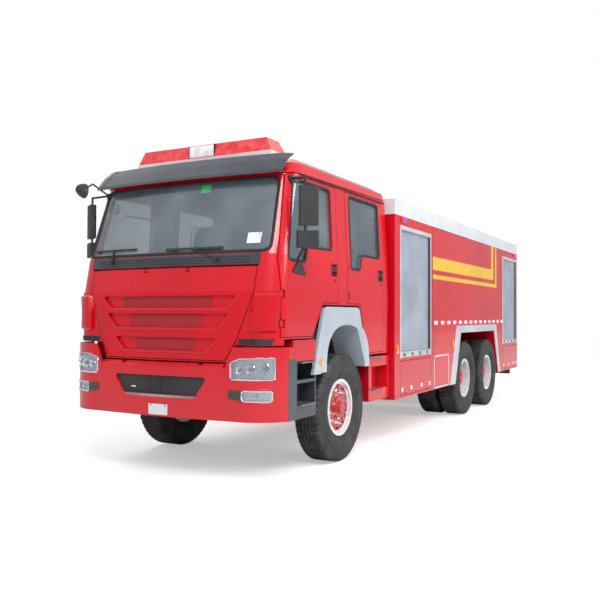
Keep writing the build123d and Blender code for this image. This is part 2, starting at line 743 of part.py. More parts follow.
def dashboard():
    """The dashboard against the firewall, with the steering column and wheel on the left."""
    back = firewall_depth + 60
    top = 1950.0
    board = side_prism([(back, 1730), (back, top), (back + 240, top - 10), (back + 280, top - 100),
                        (back + 190, 1730)], (-1030, 1030))
    x, y, z = wheel_centre
    column = rod((x, back + 150, z - 240), (x, y, z), 26)
    tilt = Plane((x, y, z), z_dir=(0, y - back - 150, 240))
    rim = tilt * Torus(steering_wheel_radius, 17)
    spokes = tilt * Box(2 * steering_wheel_radius, 40, 16)
    return board + column + (rim + spokes)


def front_seats():
    """Both front seats, each with cushion and back on its box."""
    seat = box((290, 780), (1080, 1480), (cab_arch_z + cab_wall, 1800))
    seat += side_prism([(1010, 1800), (1010, 1930), (1480, 1910), (1600, 2560), (1660, 2560), (1640, 1800)],
                       (270, 800), 25)
    return both(seat)


def crew_bench():
    """The crew's bench along the cab's rear wall."""
    high = cab_arch_z + cab_wall
    base = box((-480, 480), (2200, 2500), (high, 1800))
    cushion = side_prism([(2120, 1800), (2120, 1930), (2560, 1910), (2600, 2560),
                          (cab_rear_y - cab_wall, 2560), (cab_rear_y - cab_wall, 1800)], (-1050, 1050), 25)
    return base + cushion


def seats():
    """Front seats and crew bench as three solids."""
    return Compound(children=[*solids_of(front_seats()), *solids_of(crew_bench())])


# Mirror poles as (x, y) and the turn of their heads in degrees, by side
# The mirror pole's x and y, and how far the heads turn outwards
MIRROR_POLE = (1305.0, 475.0, 33.0)
# Mirror heads: offset from the pole along the head, width, low z, high z
MIRROR_HEADS = ((31.0, 182.0, 2345.0, 2705.0), (22.0, 204.0, 2140.0, 2295.0))
mirror_thickness = 60.0
pole_radius = 11.0
FRONT_MIRROR = (1250.0, 270.0, 2830.0)


def mirrors(side_name):
    """One side's mirrors as a left-hand set: two heads on a pole, and a front one on the right."""
    x, y, turn = MIRROR_POLE
    turn_axis = Location((x, y, 0), (0, 0, turn))
    top = (1130, 540, 2800)
    low_z = MIRROR_HEADS[1][2] + 20
    arms = rod((x, y, low_z), (x, y, 2790), pole_radius) + rod((x, y, 2780), top, pole_radius)
    arms += rod((1170, 540, 2005), (x, y, low_z + 8), pole_radius)
    plates = side_prism([(430, 1920), (520, 2015), (600, 2010), (680, 1900)], (1100, 1300))
    plates += side_prism([(515, 2760), (515, 2822), (600, 2822), (600, 2760)], (1050, 1300))
    plates = plates & (cab_skin(-14) - cab_skin(0))
    heads = None
    for along, width, low, high in MIRROR_HEADS:
        head = turn_axis * Pos(along, 0, (low + high) / 2) * Box(width, mirror_thickness, high - low)
        head = fillet(head.edges().filter_by(Axis.Z), 20)
        heads = head if heads is None else heads + head
    pieces = arms + heads
    if side_name == "right":
        fx, fy, fz = FRONT_MIRROR
        bend = (1190, 360, 2905)
        pieces += rod(top, bend, 9) + Pos(*bend) * Sphere(9) + rod(bend, (fx, fy, fz), 9)
        dish = Sphere(128) & Pos(0, -95, 0) * Box(300, 120, 300)
        pieces += Pos(fx, fy, fz) * Rot(0, -25, 25) * Pos(0, 60, 0) * scale(dish, by=(1, 1, 0.62))
    return (pieces - cab_skin(0)) + plates


# Wiper blades on the windscreen: inner end, outer end, height, and their arm's pivot (x, z)
WIPERS = ((-1000.0, -430.0, 2168.0, (-720.0, 2045.0)), (-30.0, 600.0, 2148.0, (560.0, 2040.0)))


def wipers():
    """Two wipers, each a blade on the glass, an arm and a pivot on the cab's cowl."""
    pieces = []
    for x0, x1, z, (pivot_x, pivot_z) in WIPERS:
        middle = (x0 + x1) / 2
        blade = box((x0, x1), (-60, 420), (z - 9, z + 9)) & (cab_skin(-14) - cab_skin(8 - seat_gap))
        arm = front_prism([(pivot_x - 12, pivot_z), (pivot_x + 12, pivot_z), (middle + 9, z), (middle - 9, z)],
                          (-60, 420)) & (cab_skin(-22) - cab_skin(-8))
        pivot = rod((pivot_x, -60, pivot_z), (pivot_x, 420, pivot_z), 22) & (cab_skin(-22) - cab_skin(0))
        pieces += solids_of(blade + arm + pivot)
    return Compound(children=pieces)


# Front end

def bumper_plan(inset):
    """The bumper's plan: a bowed face that wraps round to both sides."""
    w = bumper_half_width - inset
    face_y = inset
    outer = Curve() + [
        ThreePointArc((-800 + inset, 40 + face_y), (0, face_y), (800 - inset, 40 + face_y)),
        ThreePointArc((800 - inset, 40 + face_y), (1105 - inset * 0.8, 125 + inset * 0.8), (w, 300)),
        Polyline((w, 300), (w, 440), (-w, 440), (-w, 300)),
        ThreePointArc((-w, 300), (inset * 0.8 - 1105, 125 + inset * 0.8), (inset - 800, 40 + face_y)),
    ]
    return make_face(outer)


INTAKE = ((-430.0, 785.0), (430.0, 785.0), (550.0, 960.0), (-550.0, 960.0))
HEADLAMP = ((790.0, 955.0), (1165.0, 955.0), (1165.0, 1150.0), (880.0, 1140.0), (790.0, 1105.0))
FOG_LAMP = ((905.0, 765.0), (1150.0, 765.0), (1150.0, 855.0), (905.0, 855.0))
bumper_dip_x = (728.0, 808.0)


def bumper_shape(inset, low, high):
    """The bumper's full form between two heights."""
    return extrude(Plane.XY.offset(low) * bumper_plan(inset), amount=high - low, dir=(0, 0, 1))


def lamp_pair(outline, y_span, margin):
    """A lamp's outline on both sides, pushed back, as a list of two prisms."""
    face = make_face(Polyline(*outline, close=True))
    face = offset(face, amount=margin, kind=Kind.INTERSECTION) if margin else face
    prism = extrude(Plane.XZ.offset(-y_span[0]) * face, amount=y_span[1] - y_span[0], dir=(0, 1, 0))
    return [prism, flipped(prism)]


# The tray behind the bumper's middle, as (y, z): it stays inside the tilting cab's sweep
TRAY = ((4.0, 1030.0), (4.0, 1046.0), (30.0, 1066.0), (60.0, 1084.0), (140.0, 1089.0), (140.0, 1076.0),
        (70.0, 1070.0), (60.0, 1030.0))
tray_half_width = 715.0
tray_slot_xs = (rail_outer_x - 5.0, rail_outer_x + 50.0)


def bumper_tray():
    """The tray that closes the gap between bumper and cab, slotted for the cab's tilt lugs."""
    tray = side_prism(TRAY, (-tray_half_width, tray_half_width)) & bumper_shape(0, 1000, 1100)
    slot = box(tray_slot_xs, (32, 150), (1020, 1100))
    return tray - slot - flipped(slot)


def bumper():
    """The bumper with raised pods, cut for its intake and lamps, on pads at the rails."""
    shell = bumper_shape(0, bumper_bottom_z, bumper_pod_top_z)
    shell -= bumper_shape(bumper_wall, bumper_bottom_z - 1, bumper_pod_top_z + 1) + box(
        (-bumper_half_width + bumper_wall, bumper_half_width - bumper_wall), (300, 460),
        (bumper_bottom_z - 1, bumper_pod_top_z + 1))
    foot_x, top_x = bumper_dip_x
    dip = [(-foot_x, bumper_middle_top_z), (foot_x, bumper_middle_top_z), (top_x, bumper_pod_top_z + 1),
           (-top_x, bumper_pod_top_z + 1)]
    shell -= front_prism(dip, (-10, 500))
    shell -= front_prism(INTAKE, (-10, 200), 25)
    for outline in (HEADLAMP, FOG_LAMP):
        for prism in lamp_pair(outline, (-10, 290), 0):
            shell -= prism
    pad = box((rail_outer_x - rail_flange - 10, rail_outer_x), (5, frame_front_y), (frame_bottom_z, 770))
    pad += box((rail_outer_x - rail_flange - 10, rail_outer_x), (5, frame_front_y), (965, frame_top_z))
    pad = pad & bumper_shape(5, bumper_bottom_z, bumper_pod_top_z)
    return shell + pad + flipped(pad) + bumper_tray()


def bumper_grille():
    """The dark grille behind the bumper's intake: a frame with upright bars."""
    back = 48.0
    plate = front_prism(INTAKE, (back - 20, back), 25) & bumper_shape(bumper_wall, 700, 1000)
    for x in range(-360, 361, 120):
        plate += box((x - 8, x + 8), (back - 30, back), (790, 955)) & bumper_shape(bumper_wall, 700, 1000)
    return plate


def front_lamps():
    """Head and fog lamps, each a lens block that fills its opening in the bumper."""
    lamps = []
    for outline in (HEADLAMP, FOG_LAMP):
        for prism in lamp_pair(outline, (-10, 290), 0):
            lamps.append(prism & (bumper_shape(6, 700, 1200) - bumper_shape(bumper_wall + 20, 699, 1201)))
    return Compound(children=[solid for lamp in lamps for solid in solids_of(lamp)])


step_outer_x = 1168.0
FRONT_STEP_YS = (450.0, 960.0)
front_step_zs = (560.0, 1100.0)
step_tread = 25.0


def front_step():
    """The left black step box: two open steps, on a bracket from the rail."""
    inner = 940.0
    low, high = front_step_zs
    block = box((inner, step_outer_x), FRONT_STEP_YS, (low, high))
    for z_span in ((low + 130, low + 330), (low + 360, high - step_tread)):
        block -= box((inner + 60, step_outer_x + 1), (FRONT_STEP_YS[0] + 20, FRONT_STEP_YS[1] - 20), z_span)
    bracket = box((rail_outer_x, inner), (600, 680), (800, 860))
    return block + bracket


def side_box():
    """The left red box over the front steps."""
    return box((960, 1195), (455, 895), (front_step_zs[1], 1295))


CREW_STEP_ZS = (560.0, 1058.0)


def crew_step():
    """The left red crew step behind the front wheel, with a recess, on a rail bracket."""
    low, high = CREW_STEP_ZS
    rear = cab_rear_y + 50
    block = plan_prism([(980, 2245), (1195, 2190), (1195, rear), (980, rear)], CREW_STEP_ZS)
    block -= box((1050, 1300), (2270, rear - 60), (low + 130, high - 110))
    return block + box((rail_outer_x, 980), (2560, 2640), (800, 860))


def side_steps():
    """Red side boxes and crew steps on both sides."""
    pieces = [*solids_of(side_box()), *solids_of(crew_step())]
    return both(Compound(children=pieces))


FENDER_OUTER = ((850.0, 955.0), (1070.0, 1590.0), (1130.0, 1612.0), (1870.0, 1612.0), (1925.0, 1590.0),
                (2165.0, 965.0))
FENDER_INNER = ((2095.0, 965.0), (1880.0, 1380.0), (1760.0, 1435.0), (1330.0, 1435.0), (1200.0, 1380.0),
                (1015.0, 955.0))


def fender():
    """The left silver wing: a flat arch band and a thin liner reaching in over the wheel."""
    band = side_prism(FENDER_OUTER + FENDER_INNER, (step_outer_x, 1200))
    liner_in = [(y, z) for y, z in FENDER_INNER]
    liner_out = [(2115.0, 965.0), (1894.0, 1390.0), (1764.0, 1448.0), (1326.0, 1448.0), (1188.0, 1390.0),
                 (998.0, 955.0)]
    liner = side_prism(liner_in + liner_out[::-1], (860, step_outer_x))
    return band + liner


# Rear body

# Roller shutters on each side: front, back, low and high limits
SIDE_SHUTTERS = ((3030.0, 4170.0, 1012.0, 2600.0), (8255.0, 9380.0, 1012.0, 2600.0))
rear_shutter_half_width = 700.0
rear_shutter_zs = (1012.0, 2600.0)
body_rear_y = overall_length - ladder_reach
# Lower side panels: name, front, back, low, high, and whether it folds down as a step
FLAPS = (
    ("front", 3035.0, 4180.0, 556.0, 968.0),
    ("rear", 8255.0, 9380.0, 556.0, 968.0),
)
flap_hinge_radius = 5.0
# The wheel arch in the rear body as (y, z), from the front leg's foot to the rear leg's foot
ARCH_INNER = ((5283.0, body_low_z), (5573.0, arch_top_z), (7600.0, arch_top_z), (7900.0, body_low_z))
ARCH_OUTER = ((5056.0, body_low_z), (5386.0, 1380.0), (7742.0, 1380.0), (8045.0, body_low_z))
locker_inner_x = 520.0


def body_module(y_span):
    """One full-width module of the body above the frame."""
    return box((-body_half_width, body_half_width), y_span, (body_floor_z, body_top_z))


def shutter_recesses(y_span):
    """Cutters for the side shutters whose middle lies in this stretch of the body."""
    cuts = []
    for y0, y1, z0, z1 in SIDE_SHUTTERS:
        if y_span[0] < (y0 + y1) / 2 < y_span[1]:
            cut = box((body_half_width - shutter_recess, body_half_width + 1), (y0, y1), (z0, z1))
            cuts += [cut, flipped(cut)]
    return cuts


def body_front_locker():
    """The locker module behind the cab."""
    span = (body_front_y, locker_seam_y)
    module = body_module(span)
    for cut in shutter_recesses(span):
        module -= cut
    return module


def body_tank_section():
    """The closed water tank module over the rear axles, above the wheel arches."""
    return box((-body_half_width, body_half_width), (locker_seam_y, pump_seam_y), (arch_top_z, body_top_z))


def body_pump_bay():
    """The pump module at the tail, with side and rear shutter recesses."""
    span = (pump_seam_y, body_rear_y)
    module = body_module(span)
    for cut in shutter_recesses(span):
        module -= cut
    low, high = rear_shutter_zs
    return module - box((-rear_shutter_half_width, rear_shutter_half_width),
                        (body_rear_y - shutter_recess, body_rear_y + 1), (low, high))


def flap_axis():
    """Where the lower flaps' hinge lines lie, as (x, z), on the left side."""
    return body_half_width - 8.0, FLAPS[0][3] + 8.0


def flap_pocket(y0, y1, z0, z1):
    """The pocket in a lower locker that takes a flap, with its gaps."""
    gap = moving_gap
    return box((body_half_width - flap_thickness - gap, body_half_width + 1), (y0 - gap, y1 + gap),
               (z0 - gap, z1 + gap))


def flap_lug_ys(y0, y1):
    """Where the two hinge lugs of a flap lie along it."""
    return (y0 + 180, y1 - 180)


def lower_lockers():
    """The side lockers under the body, ahead of and behind the rear wheels."""
    x_span = (locker_inner_x, body_half_width)
    low = body_low_z
    ahead = side_prism([(body_front_y, low), ARCH_INNER[0], ARCH_INNER[1], (locker_seam_y, arch_top_z),
                        (locker_seam_y, body_floor_z), (body_front_y, body_floor_z)], x_span)
    behind = side_prism([ARCH_INNER[3], (body_rear_y, low), (body_rear_y, body_floor_z),
                         (pump_seam_y, body_floor_z), (pump_seam_y, arch_top_z), ARCH_INNER[2]], x_span)
    x, z = flap_axis()
    for _, y0, y1, z0, z1 in FLAPS:
        pocket = flap_pocket(y0, y1, z0, z1)
        ahead -= pocket
        behind -= pocket
    lockers = [ahead, behind]
    for index, (_, y0, y1, z0, _) in enumerate(FLAPS):
        for y in flap_lug_ys(y0, y1):
            lug = box((body_half_width - flap_thickness - moving_gap - 5, x), (y - 20, y + 20), (z - 8, z + 8))
            lug += rod((x, y - 20, z), (x, y + 20, z), 8)
            lug -= rod((x, y - 30, z), (x, y + 30, z), flap_hinge_radius + shaft_clearance)
            lockers[index] += lug
    return both(Compound(children=[solid for piece in lockers for solid in solids_of(piece)]))


def flap(y0, y1, z0, z1):
    """A left lower panel that folds down as a step on two hinge pins."""
    x, z = flap_axis()
    panel = box((body_half_width - flap_thickness, body_half_width), (y0, y1), (z0, z1))
    for y in flap_lug_ys(y0, y1):
        panel -= box((body_half_width - flap_thickness - 1, body_half_width + 1), (y - 27, y + 27),
                     (z0 - 1, z + 16))
        panel += rod((x, y - 45, z), (x, y + 45, z), flap_hinge_radius)
    return panel


def arch_trims():
    """The silver arch bands on both sides."""
    band = side_prism(ARCH_OUTER + ARCH_INNER[::-1], (body_half_width, body_half_width + trim_thickness))
    return both(band)


def slat_outline(low, high, depth):
    """A shutter's section as (depth, z) points: slats with a groove between each two."""
    count = round((high - low) / shutter_slat_pitch)
    pitch = (high - low) / count
    points = [(0, low)]
    for step in range(count):
        base = low + step * pitch
        points += [(depth, base + 4), (depth, base + pitch - 4), (depth - 5, base + pitch)]
    return points[:-1] + [(0, high)]


def shutters():
    """Roller shutters: two on each side and one at the tail."""
    pieces = []
    for y0, y1, z0, z1 in SIDE_SHUTTERS:
        points = slat_outline(z0, z1, shutter_thickness)
        inner = body_half_width - shutter_recess
        slats = front_prism([(inner + d, z) for d, z in points], (y0, y1))
        pieces += [slats, flipped(slats)]
    inner = body_rear_y - shutter_recess
    points = slat_outline(*rear_shutter_zs, shutter_thickness)
    pieces.append(side_prism([(inner + d, z) for d, z in points],
                             (-rear_shutter_half_width, rear_shutter_half_width)))
    return Compound(children=[solid for piece in pieces for solid in solids_of(piece)])


MONITOR = (0.0, 4600.0)
monitor_base_radius = 90.0
monitor_joint_z = 2960.0
monitor_pin_z = monitor_joint_z + 130.0


def roof_parapet():
    """The white parapet round the roof deck, with the water monitor's foot."""
    span = (body_front_y, body_rear_y)
    w = body_half_width
    tray = box((-w, w), span, (body_top_z, parapet_top_z))
    tray -= box((parapet_wall - w, w - parapet_wall), (span[0] + parapet_wall, span[1] - parapet_wall),
                (body_top_z + deck_thickness, parapet_top_z + 1))
    x, y = MONITOR
    deck_z = body_top_z + deck_thickness
    foot = rod((x, y, deck_z), (x, y, deck_z + 25), 150) + rod((x, y, deck_z), (x, y, monitor_joint_z), 70)
    pin = rod((x, y, monitor_joint_z), (x, y, monitor_joint_z + 40), 30)
    return tray + foot + pin


def monitor_swivel():
    """The monitor's turning elbow, with a fork for the barrel."""
    x, y = MONITOR
    low = monitor_joint_z + 5
    head = rod((x, y, low), (x, y, low + 60), 72)
    head -= rod((x, y, low - 1), (x, y, monitor_joint_z + 45), 30 + shaft_clearance)
    z = monitor_pin_z
    for side in (-1, 1):
        cheek_x = sorted((side * 48, side * 66))
        head += box(cheek_x, (y - 30, y + 30), (low + 40, z + 20))
    return head + rod((-66, y, z), (66, y, z), 12)


def monitor_barrel():
    """The barrel on its elevation pin, tapering to its nozzle."""
    x, y = MONITOR
    z = monitor_pin_z
    body = rod((-40, y, z), (40, y, z), 32)
    outline = [(0, 0), (34, 0), (34, 180), (26, 400), (38, 430), (38, 520), (0, 520)]
    face = Plane(origin=(x, y, z), x_dir=(1, 0, 0), z_dir=(0, 0, 1)) * make_face(
        Polyline(*[(px, -py) for px, py in outline], close=True))
    barrel = revolve(face, axis=Axis((x, y, z), (0, -1, 0)))
    return body + barrel - rod((-50, y, z), (50, y, z), 12 + shaft_clearance)


def body_lamps():
    """Tail lamp clusters and the strobe lamps high on the body's sides."""
    pieces = []
    cluster = box((950, 1200), (body_rear_y, body_rear_y + 35), (620, 760))
    pieces += [cluster, flipped(cluster)]
    for y in (3130.0, 9200.0):
        strobe = side_prism([(y - 70, 2665), (y + 70, 2665), (y + 70, 2740), (y - 70, 2740)],
                            (body_half_width, body_half_width + 22), 12)
        pieces += [strobe, flipped(strobe)]
    return Compound(children=[solid for piece in pieces for solid in solids_of(piece)])


ladder_x = (820.0, 1180.0)
ladder_zs = (1050.0, 2900.0)


def rear_ladder():
    """The roof ladder on the tail: two flat stiles with stand-offs, and round rungs."""
    stile_depth = 50.0
    y = overall_length - stile_depth / 2
    low, high = ladder_zs
    ladder = None
    for x in ladder_x:
        stile = box((x - 12, x + 12), (y - stile_depth / 2, y + stile_depth / 2), (low, high))
        for z in (low + 200, high - 450):
            stile += box((x - 12, x + 12), (body_rear_y, y - stile_depth / 2), (z - 20, z + 20))
        ladder = stile if ladder is None else ladder + stile
    rung_count = 7
    for step in range(rung_count):
        z = low + 60 + step * (high - low - 120) / (rung_count - 1)
        ladder += rod((ladder_x[0], y, z), (ladder_x[1], y, z), 14)
    return ladder


# All nodes

def build_all():
    """Every node by name, in modelling position."""
    nodes = {
        "ladder_frame": ladder_frame(),
        "axles": axles(),
        "leaf_springs": leaf_springs(),
        "engine_block": engine_block(),
        "driveline": driveline(),
        "track_rod": track_rod(),
        "cab_shell": cab_shell(),
        "front_panel": front_panel(),
        "windscreen": windscreen(),
        "wipers": wipers(),
        "sun_visor": sun_visor(),
        "light_bar_base": light_bar_base(),
        "light_bar_lenses": light_bar_lenses(),
        "dashboard": dashboard(),
        "seats": seats(),
        "bumper": bumper(),
        "bumper_grille": bumper_grille(),
        "front_lamps": front_lamps(),
        "front_steps": both(front_step()),
        "side_steps": side_steps(),
        "front_fenders": both(fender()),
        "body_front_locker": body_front_locker(),
        "body_tank_section": body_tank_section(),
        "body_pump_bay": body_pump_bay(),
        "lower_lockers": lower_lockers(),
        "arch_trims": arch_trims(),
        "shutters": shutters(),
        "roof_parapet": roof_parapet(),
        "monitor_swivel": monitor_swivel(),
        "monitor_barrel": monitor_barrel(),
        "body_lamps": body_lamps(),
        "rear_ladder": rear_ladder(),
    }
    left = {
        "knuckle": knuckle(),
        "front_tyre": tyre(front_wheel_x, front_axle_y),
        "front_rim": front_rim(),
    }
    for name, outline, window, axis, heights, handle_y in DOORS:
        left[f"{name}_door"] = door(outline, window, axis, heights, handle_y)
        left[f"{name}_door_glass"] = door_glass(window)
    for name, y0, y1, z0, z1 in FLAPS:
        left[f"{name}_flap"] = flap(y0, y1, z0, z1)
    for index, y in enumerate(rear_axle_ys, start=1):
        tyres = [tyre(x, y) for x in (rear_outer_wheel_x, rear_inner_wheel_x)]
        left[f"rear_tyres_{index}"] = Compound(children=[s for t in tyres for s in solids_of(t)])
        left[f"rear_rims_{index}"] = twin_rims(y)
    for side_name, side in SIDES:
        nodes[f"mirrors_{side_name}"] = on_side(mirrors(side_name), side)
        for name, shape in left.items():
            nodes[f"{name}_{side_name}"] = on_side(shape, side)
    nodes["knuckle_left"] += ball_pin()
    return nodes


def main():
    """Write one STEP file for each node, moved so that the vehicle's middle is at the origin."""
    os.makedirs("parts", exist_ok=True)
    for name, shape in build_all().items():
        solids = solids_of(shape)
        placed = [Pos(0, -overall_length / 2, 0) * solid for solid in solids]
        piece = placed[0] if len(placed) == 1 else Compound(children=placed)
        piece.label = name
        parts[name] = piece
        export_step(piece, f"parts/{name}.step")


main()
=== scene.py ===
"""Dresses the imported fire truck: finishes, trim and small parts round the CAD frame, in metres."""
import logging
import math
from dataclasses import dataclass
from enum import Enum
from typing import Iterable, Sequence

import bmesh
import bpy
from mathutils import Matrix, Vector
from mathutils.bvhtree import BVHTree

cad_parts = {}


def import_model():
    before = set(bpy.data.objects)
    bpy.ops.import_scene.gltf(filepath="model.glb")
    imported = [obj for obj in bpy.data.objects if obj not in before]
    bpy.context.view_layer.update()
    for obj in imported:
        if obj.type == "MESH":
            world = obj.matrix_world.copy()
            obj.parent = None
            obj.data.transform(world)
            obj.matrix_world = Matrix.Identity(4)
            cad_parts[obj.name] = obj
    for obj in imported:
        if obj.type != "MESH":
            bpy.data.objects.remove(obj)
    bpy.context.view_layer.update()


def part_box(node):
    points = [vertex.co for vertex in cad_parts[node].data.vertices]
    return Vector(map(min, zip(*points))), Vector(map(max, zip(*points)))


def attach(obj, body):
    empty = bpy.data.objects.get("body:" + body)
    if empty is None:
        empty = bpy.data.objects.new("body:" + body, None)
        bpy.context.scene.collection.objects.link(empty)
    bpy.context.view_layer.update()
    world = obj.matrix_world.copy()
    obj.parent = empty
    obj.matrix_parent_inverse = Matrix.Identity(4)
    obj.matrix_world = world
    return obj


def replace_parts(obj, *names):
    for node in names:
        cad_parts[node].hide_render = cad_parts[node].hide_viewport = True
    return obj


log = logging.getLogger("fire_truck")
Point = tuple[float, float, float]
Point2 = tuple[float, float]
Colour = tuple[float, float, float]

# The truck's own length measure: model distances back from the bumper's face, less this, are frame Y
NOSE_TO_CENTRE = 4.795
# Where rays towards the truck start: ahead of it on Y, and beside it on X
AHEAD = -8.0
BESIDE = 2.0
ACROSS = Vector((1, 0, 0))
REARWARD = Vector((0, 1, 0))


def back(distance: float) -> float:
    """The frame's Y of a place that lies this far back from the bumper's face, in metres."""
    return distance - NOSE_TO_CENTRE


class Side(Enum):
    """A side of the truck, with the sign of its X."""

    LEFT = 1
    RIGHT = -1

    @property
    def label(self) -> str:
        """The side's name as the CAD nodes spell it."""
        return self.name.lower()


class Value:
    """A number socket with arithmetic: each operator adds one Math node."""

    def __init__(self, tree: "NodeTree", socket: bpy.types.NodeSocket) -> None:
        """Wraps a socket.

        Args:
            tree: the shader that new nodes go into.
            socket: the output socket that carries the number.
        """
        self.tree = tree
        self.socket = socket

    def math(self, operation: str, *others: "Value | float", first: float | None = None) -> "Value":
        """One Math node on this value.

        Args:
            operation: the node's operation.
            others: its other inputs, in order.
            first: a number that goes before this value, for the reflected operators.

        Returns:
            The node's output.
        """
        inputs = [self, *others] if first is None else [first, self]
        return self.tree.node("ShaderNodeMath", {"operation": operation}, dict(enumerate(inputs)))["Value"]

    def __add__(self, other: "Value | float") -> "Value":
        """The sum."""
        return self.math("ADD", other)

    def __sub__(self, other: "Value | float") -> "Value":
        """The difference."""
        return self.math("SUBTRACT", other)

    def __mul__(self, other: "Value | float") -> "Value":
        """The product."""
        return self.math("MULTIPLY", other)

    def __gt__(self, other: "Value | float") -> "Value":
        """One where this value is the larger, else zero."""
        return self.math("GREATER_THAN", other)

    def __lt__(self, other: "Value | float") -> "Value":
        """One where this value is the smaller, else zero."""
        return self.math("LESS_THAN", other)

    def __rsub__(self, other: float) -> "Value":
        """A number less this value."""
        return self.math("SUBTRACT", first=other)

    def ramp(self, low: float, high: float, start: float = 0.0, end: float = 1.0) -> "Value":
        """The value from low..high spread over start..end, clamped.

        Args:
            low: the value that gives start.
            high: the value that gives end.
            start: the result at low.
            end: the result at high.

        Returns:
            The Map Range node's result.
        """
        return self.tree.node("ShaderNodeMapRange", {},
                              {0: self, 1: low, 2: high, 3: start, 4: end})["Result"]


class Outputs(dict):
    """A node's outputs by name, each wrapped as a Value."""


class NodeTree:
    """A node tree under construction, with the patterns that finishes share."""

    def __init__(self, tree: bpy.types.NodeTree) -> None:
        """Wraps the tree of a material or a world."""
        self.nodes, self.links = tree.nodes, tree.links

    def _feed(self, socket: bpy.types.NodeSocket, value: object) -> None:
        """Links a Value to a socket, or writes a number or a colour on it.

        Args:
            socket: the input socket.
            value: a Value to link, a number or a colour.
        """
        if isinstance(value, Value):
            self.links.new(value.socket, socket)
        elif socket.type == "RGBA" and len(value) == 3:
            socket.default_value = (*value, 1.0)
        else:
            socket.default_value = value

    def node(self, kind: str, settings: dict | None = None, inputs: dict | None = None) -> Outputs:
        """Adds one node.

        Args:
            kind: the node's type.
            settings: its properties; "stops" gives a colour ramp's (place, colour) pairs.
            inputs: values or links by socket name or number.

        Returns:
            Its outputs by name.
        """
        made = self.nodes.new(kind)
        for key, value in (settings or {}).items():
            if key == "stops":
                ramp = made.color_ramp
                while len(ramp.elements) < len(value):
                    ramp.elements.new(0.5)
                for element, (place, colour) in zip(ramp.elements, value):
                    element.position = place
                    element.color = (*colour, 1.0)
            else:
                setattr(made, key, value)
        for key, value in (inputs or {}).items():
            self._feed(made.inputs[key], value)
        return Outputs({socket.name: Value(self, socket) for socket in made.outputs if socket.enabled})

    def place(self) -> Outputs:
        """The surface point in the truck's frame, split into X, Y and Z."""
        point = self.node("ShaderNodeTexCoord")["Object"]
        return self.node("ShaderNodeSeparateXYZ", {}, {"Vector": point})

    def noise(self, scale: float, detail: float = 3.0, stretch: Point = (1.0, 1.0, 1.0)) -> Value:
        """Soft noise over the surface.

        Args:
            scale: grains per metre.
            detail: octaves.
            stretch: how much each axis is squeezed.

        Returns:
            A value round 0.5.
        """
        point = self.node("ShaderNodeTexCoord")["Object"]
        squeezed = self.node("ShaderNodeVectorMath", {"operation": "MULTIPLY"},
                             {0: point, 1: stretch})["Vector"]
        return self.node("ShaderNodeTexNoise", {},
                         {"Vector": squeezed, "Scale": scale, "Detail": detail})["Fac"]

    def mix(self, factor: Value | float, first: Colour | Value, second: Colour | Value) -> Value:
        """A blend of two colours.

        Args:
            factor: 0 for the first, 1 for the second.
            first: a colour.
            second: a colour.

        Returns:
            The mixed colour.
        """
        return self.node("ShaderNodeMix", {"data_type": "RGBA"},
                         {"Factor": factor, 6: first, 7: second})["Result"]


class Shader(NodeTree):
    """A material under construction: its Principled shader and what feeds it."""

    def __init__(self, name: str, **constants: object) -> None:
        """Makes the material with a Principled shader.

        Args:
            name: the material's name.
            constants: the shader's sockets by name, with underscores for spaces.
        """
        self.material = bpy.data.materials.new(name)
        self.material.use_nodes = True
        super().__init__(self.material.node_tree)
        self.principled = self.nodes["Principled BSDF"]
        for key, value in constants.items():
            self.set(key.replace("_", " "), value)

    def set(self, socket: str, value: object) -> None:
        """Sets or links one of the Principled shader's sockets.

        Args:
            socket: the socket's name.
            value: a number, a colour, or a Value to link.
        """
        self._feed(self.principled.inputs[socket], value)

    def bump(self, height: Value, distance: float, strength: float = 1.0) -> None:
        """Feeds a height to the shader's Normal.

        Args:
            height: the height, 0 to 1.
            distance: metres of relief for a height of 1.
            strength: how strongly it shows.
        """
        made = self.node("ShaderNodeBump", {}, {"Height": height, "Distance": distance, "Strength": strength})
        self.set("Normal", made["Normal"])


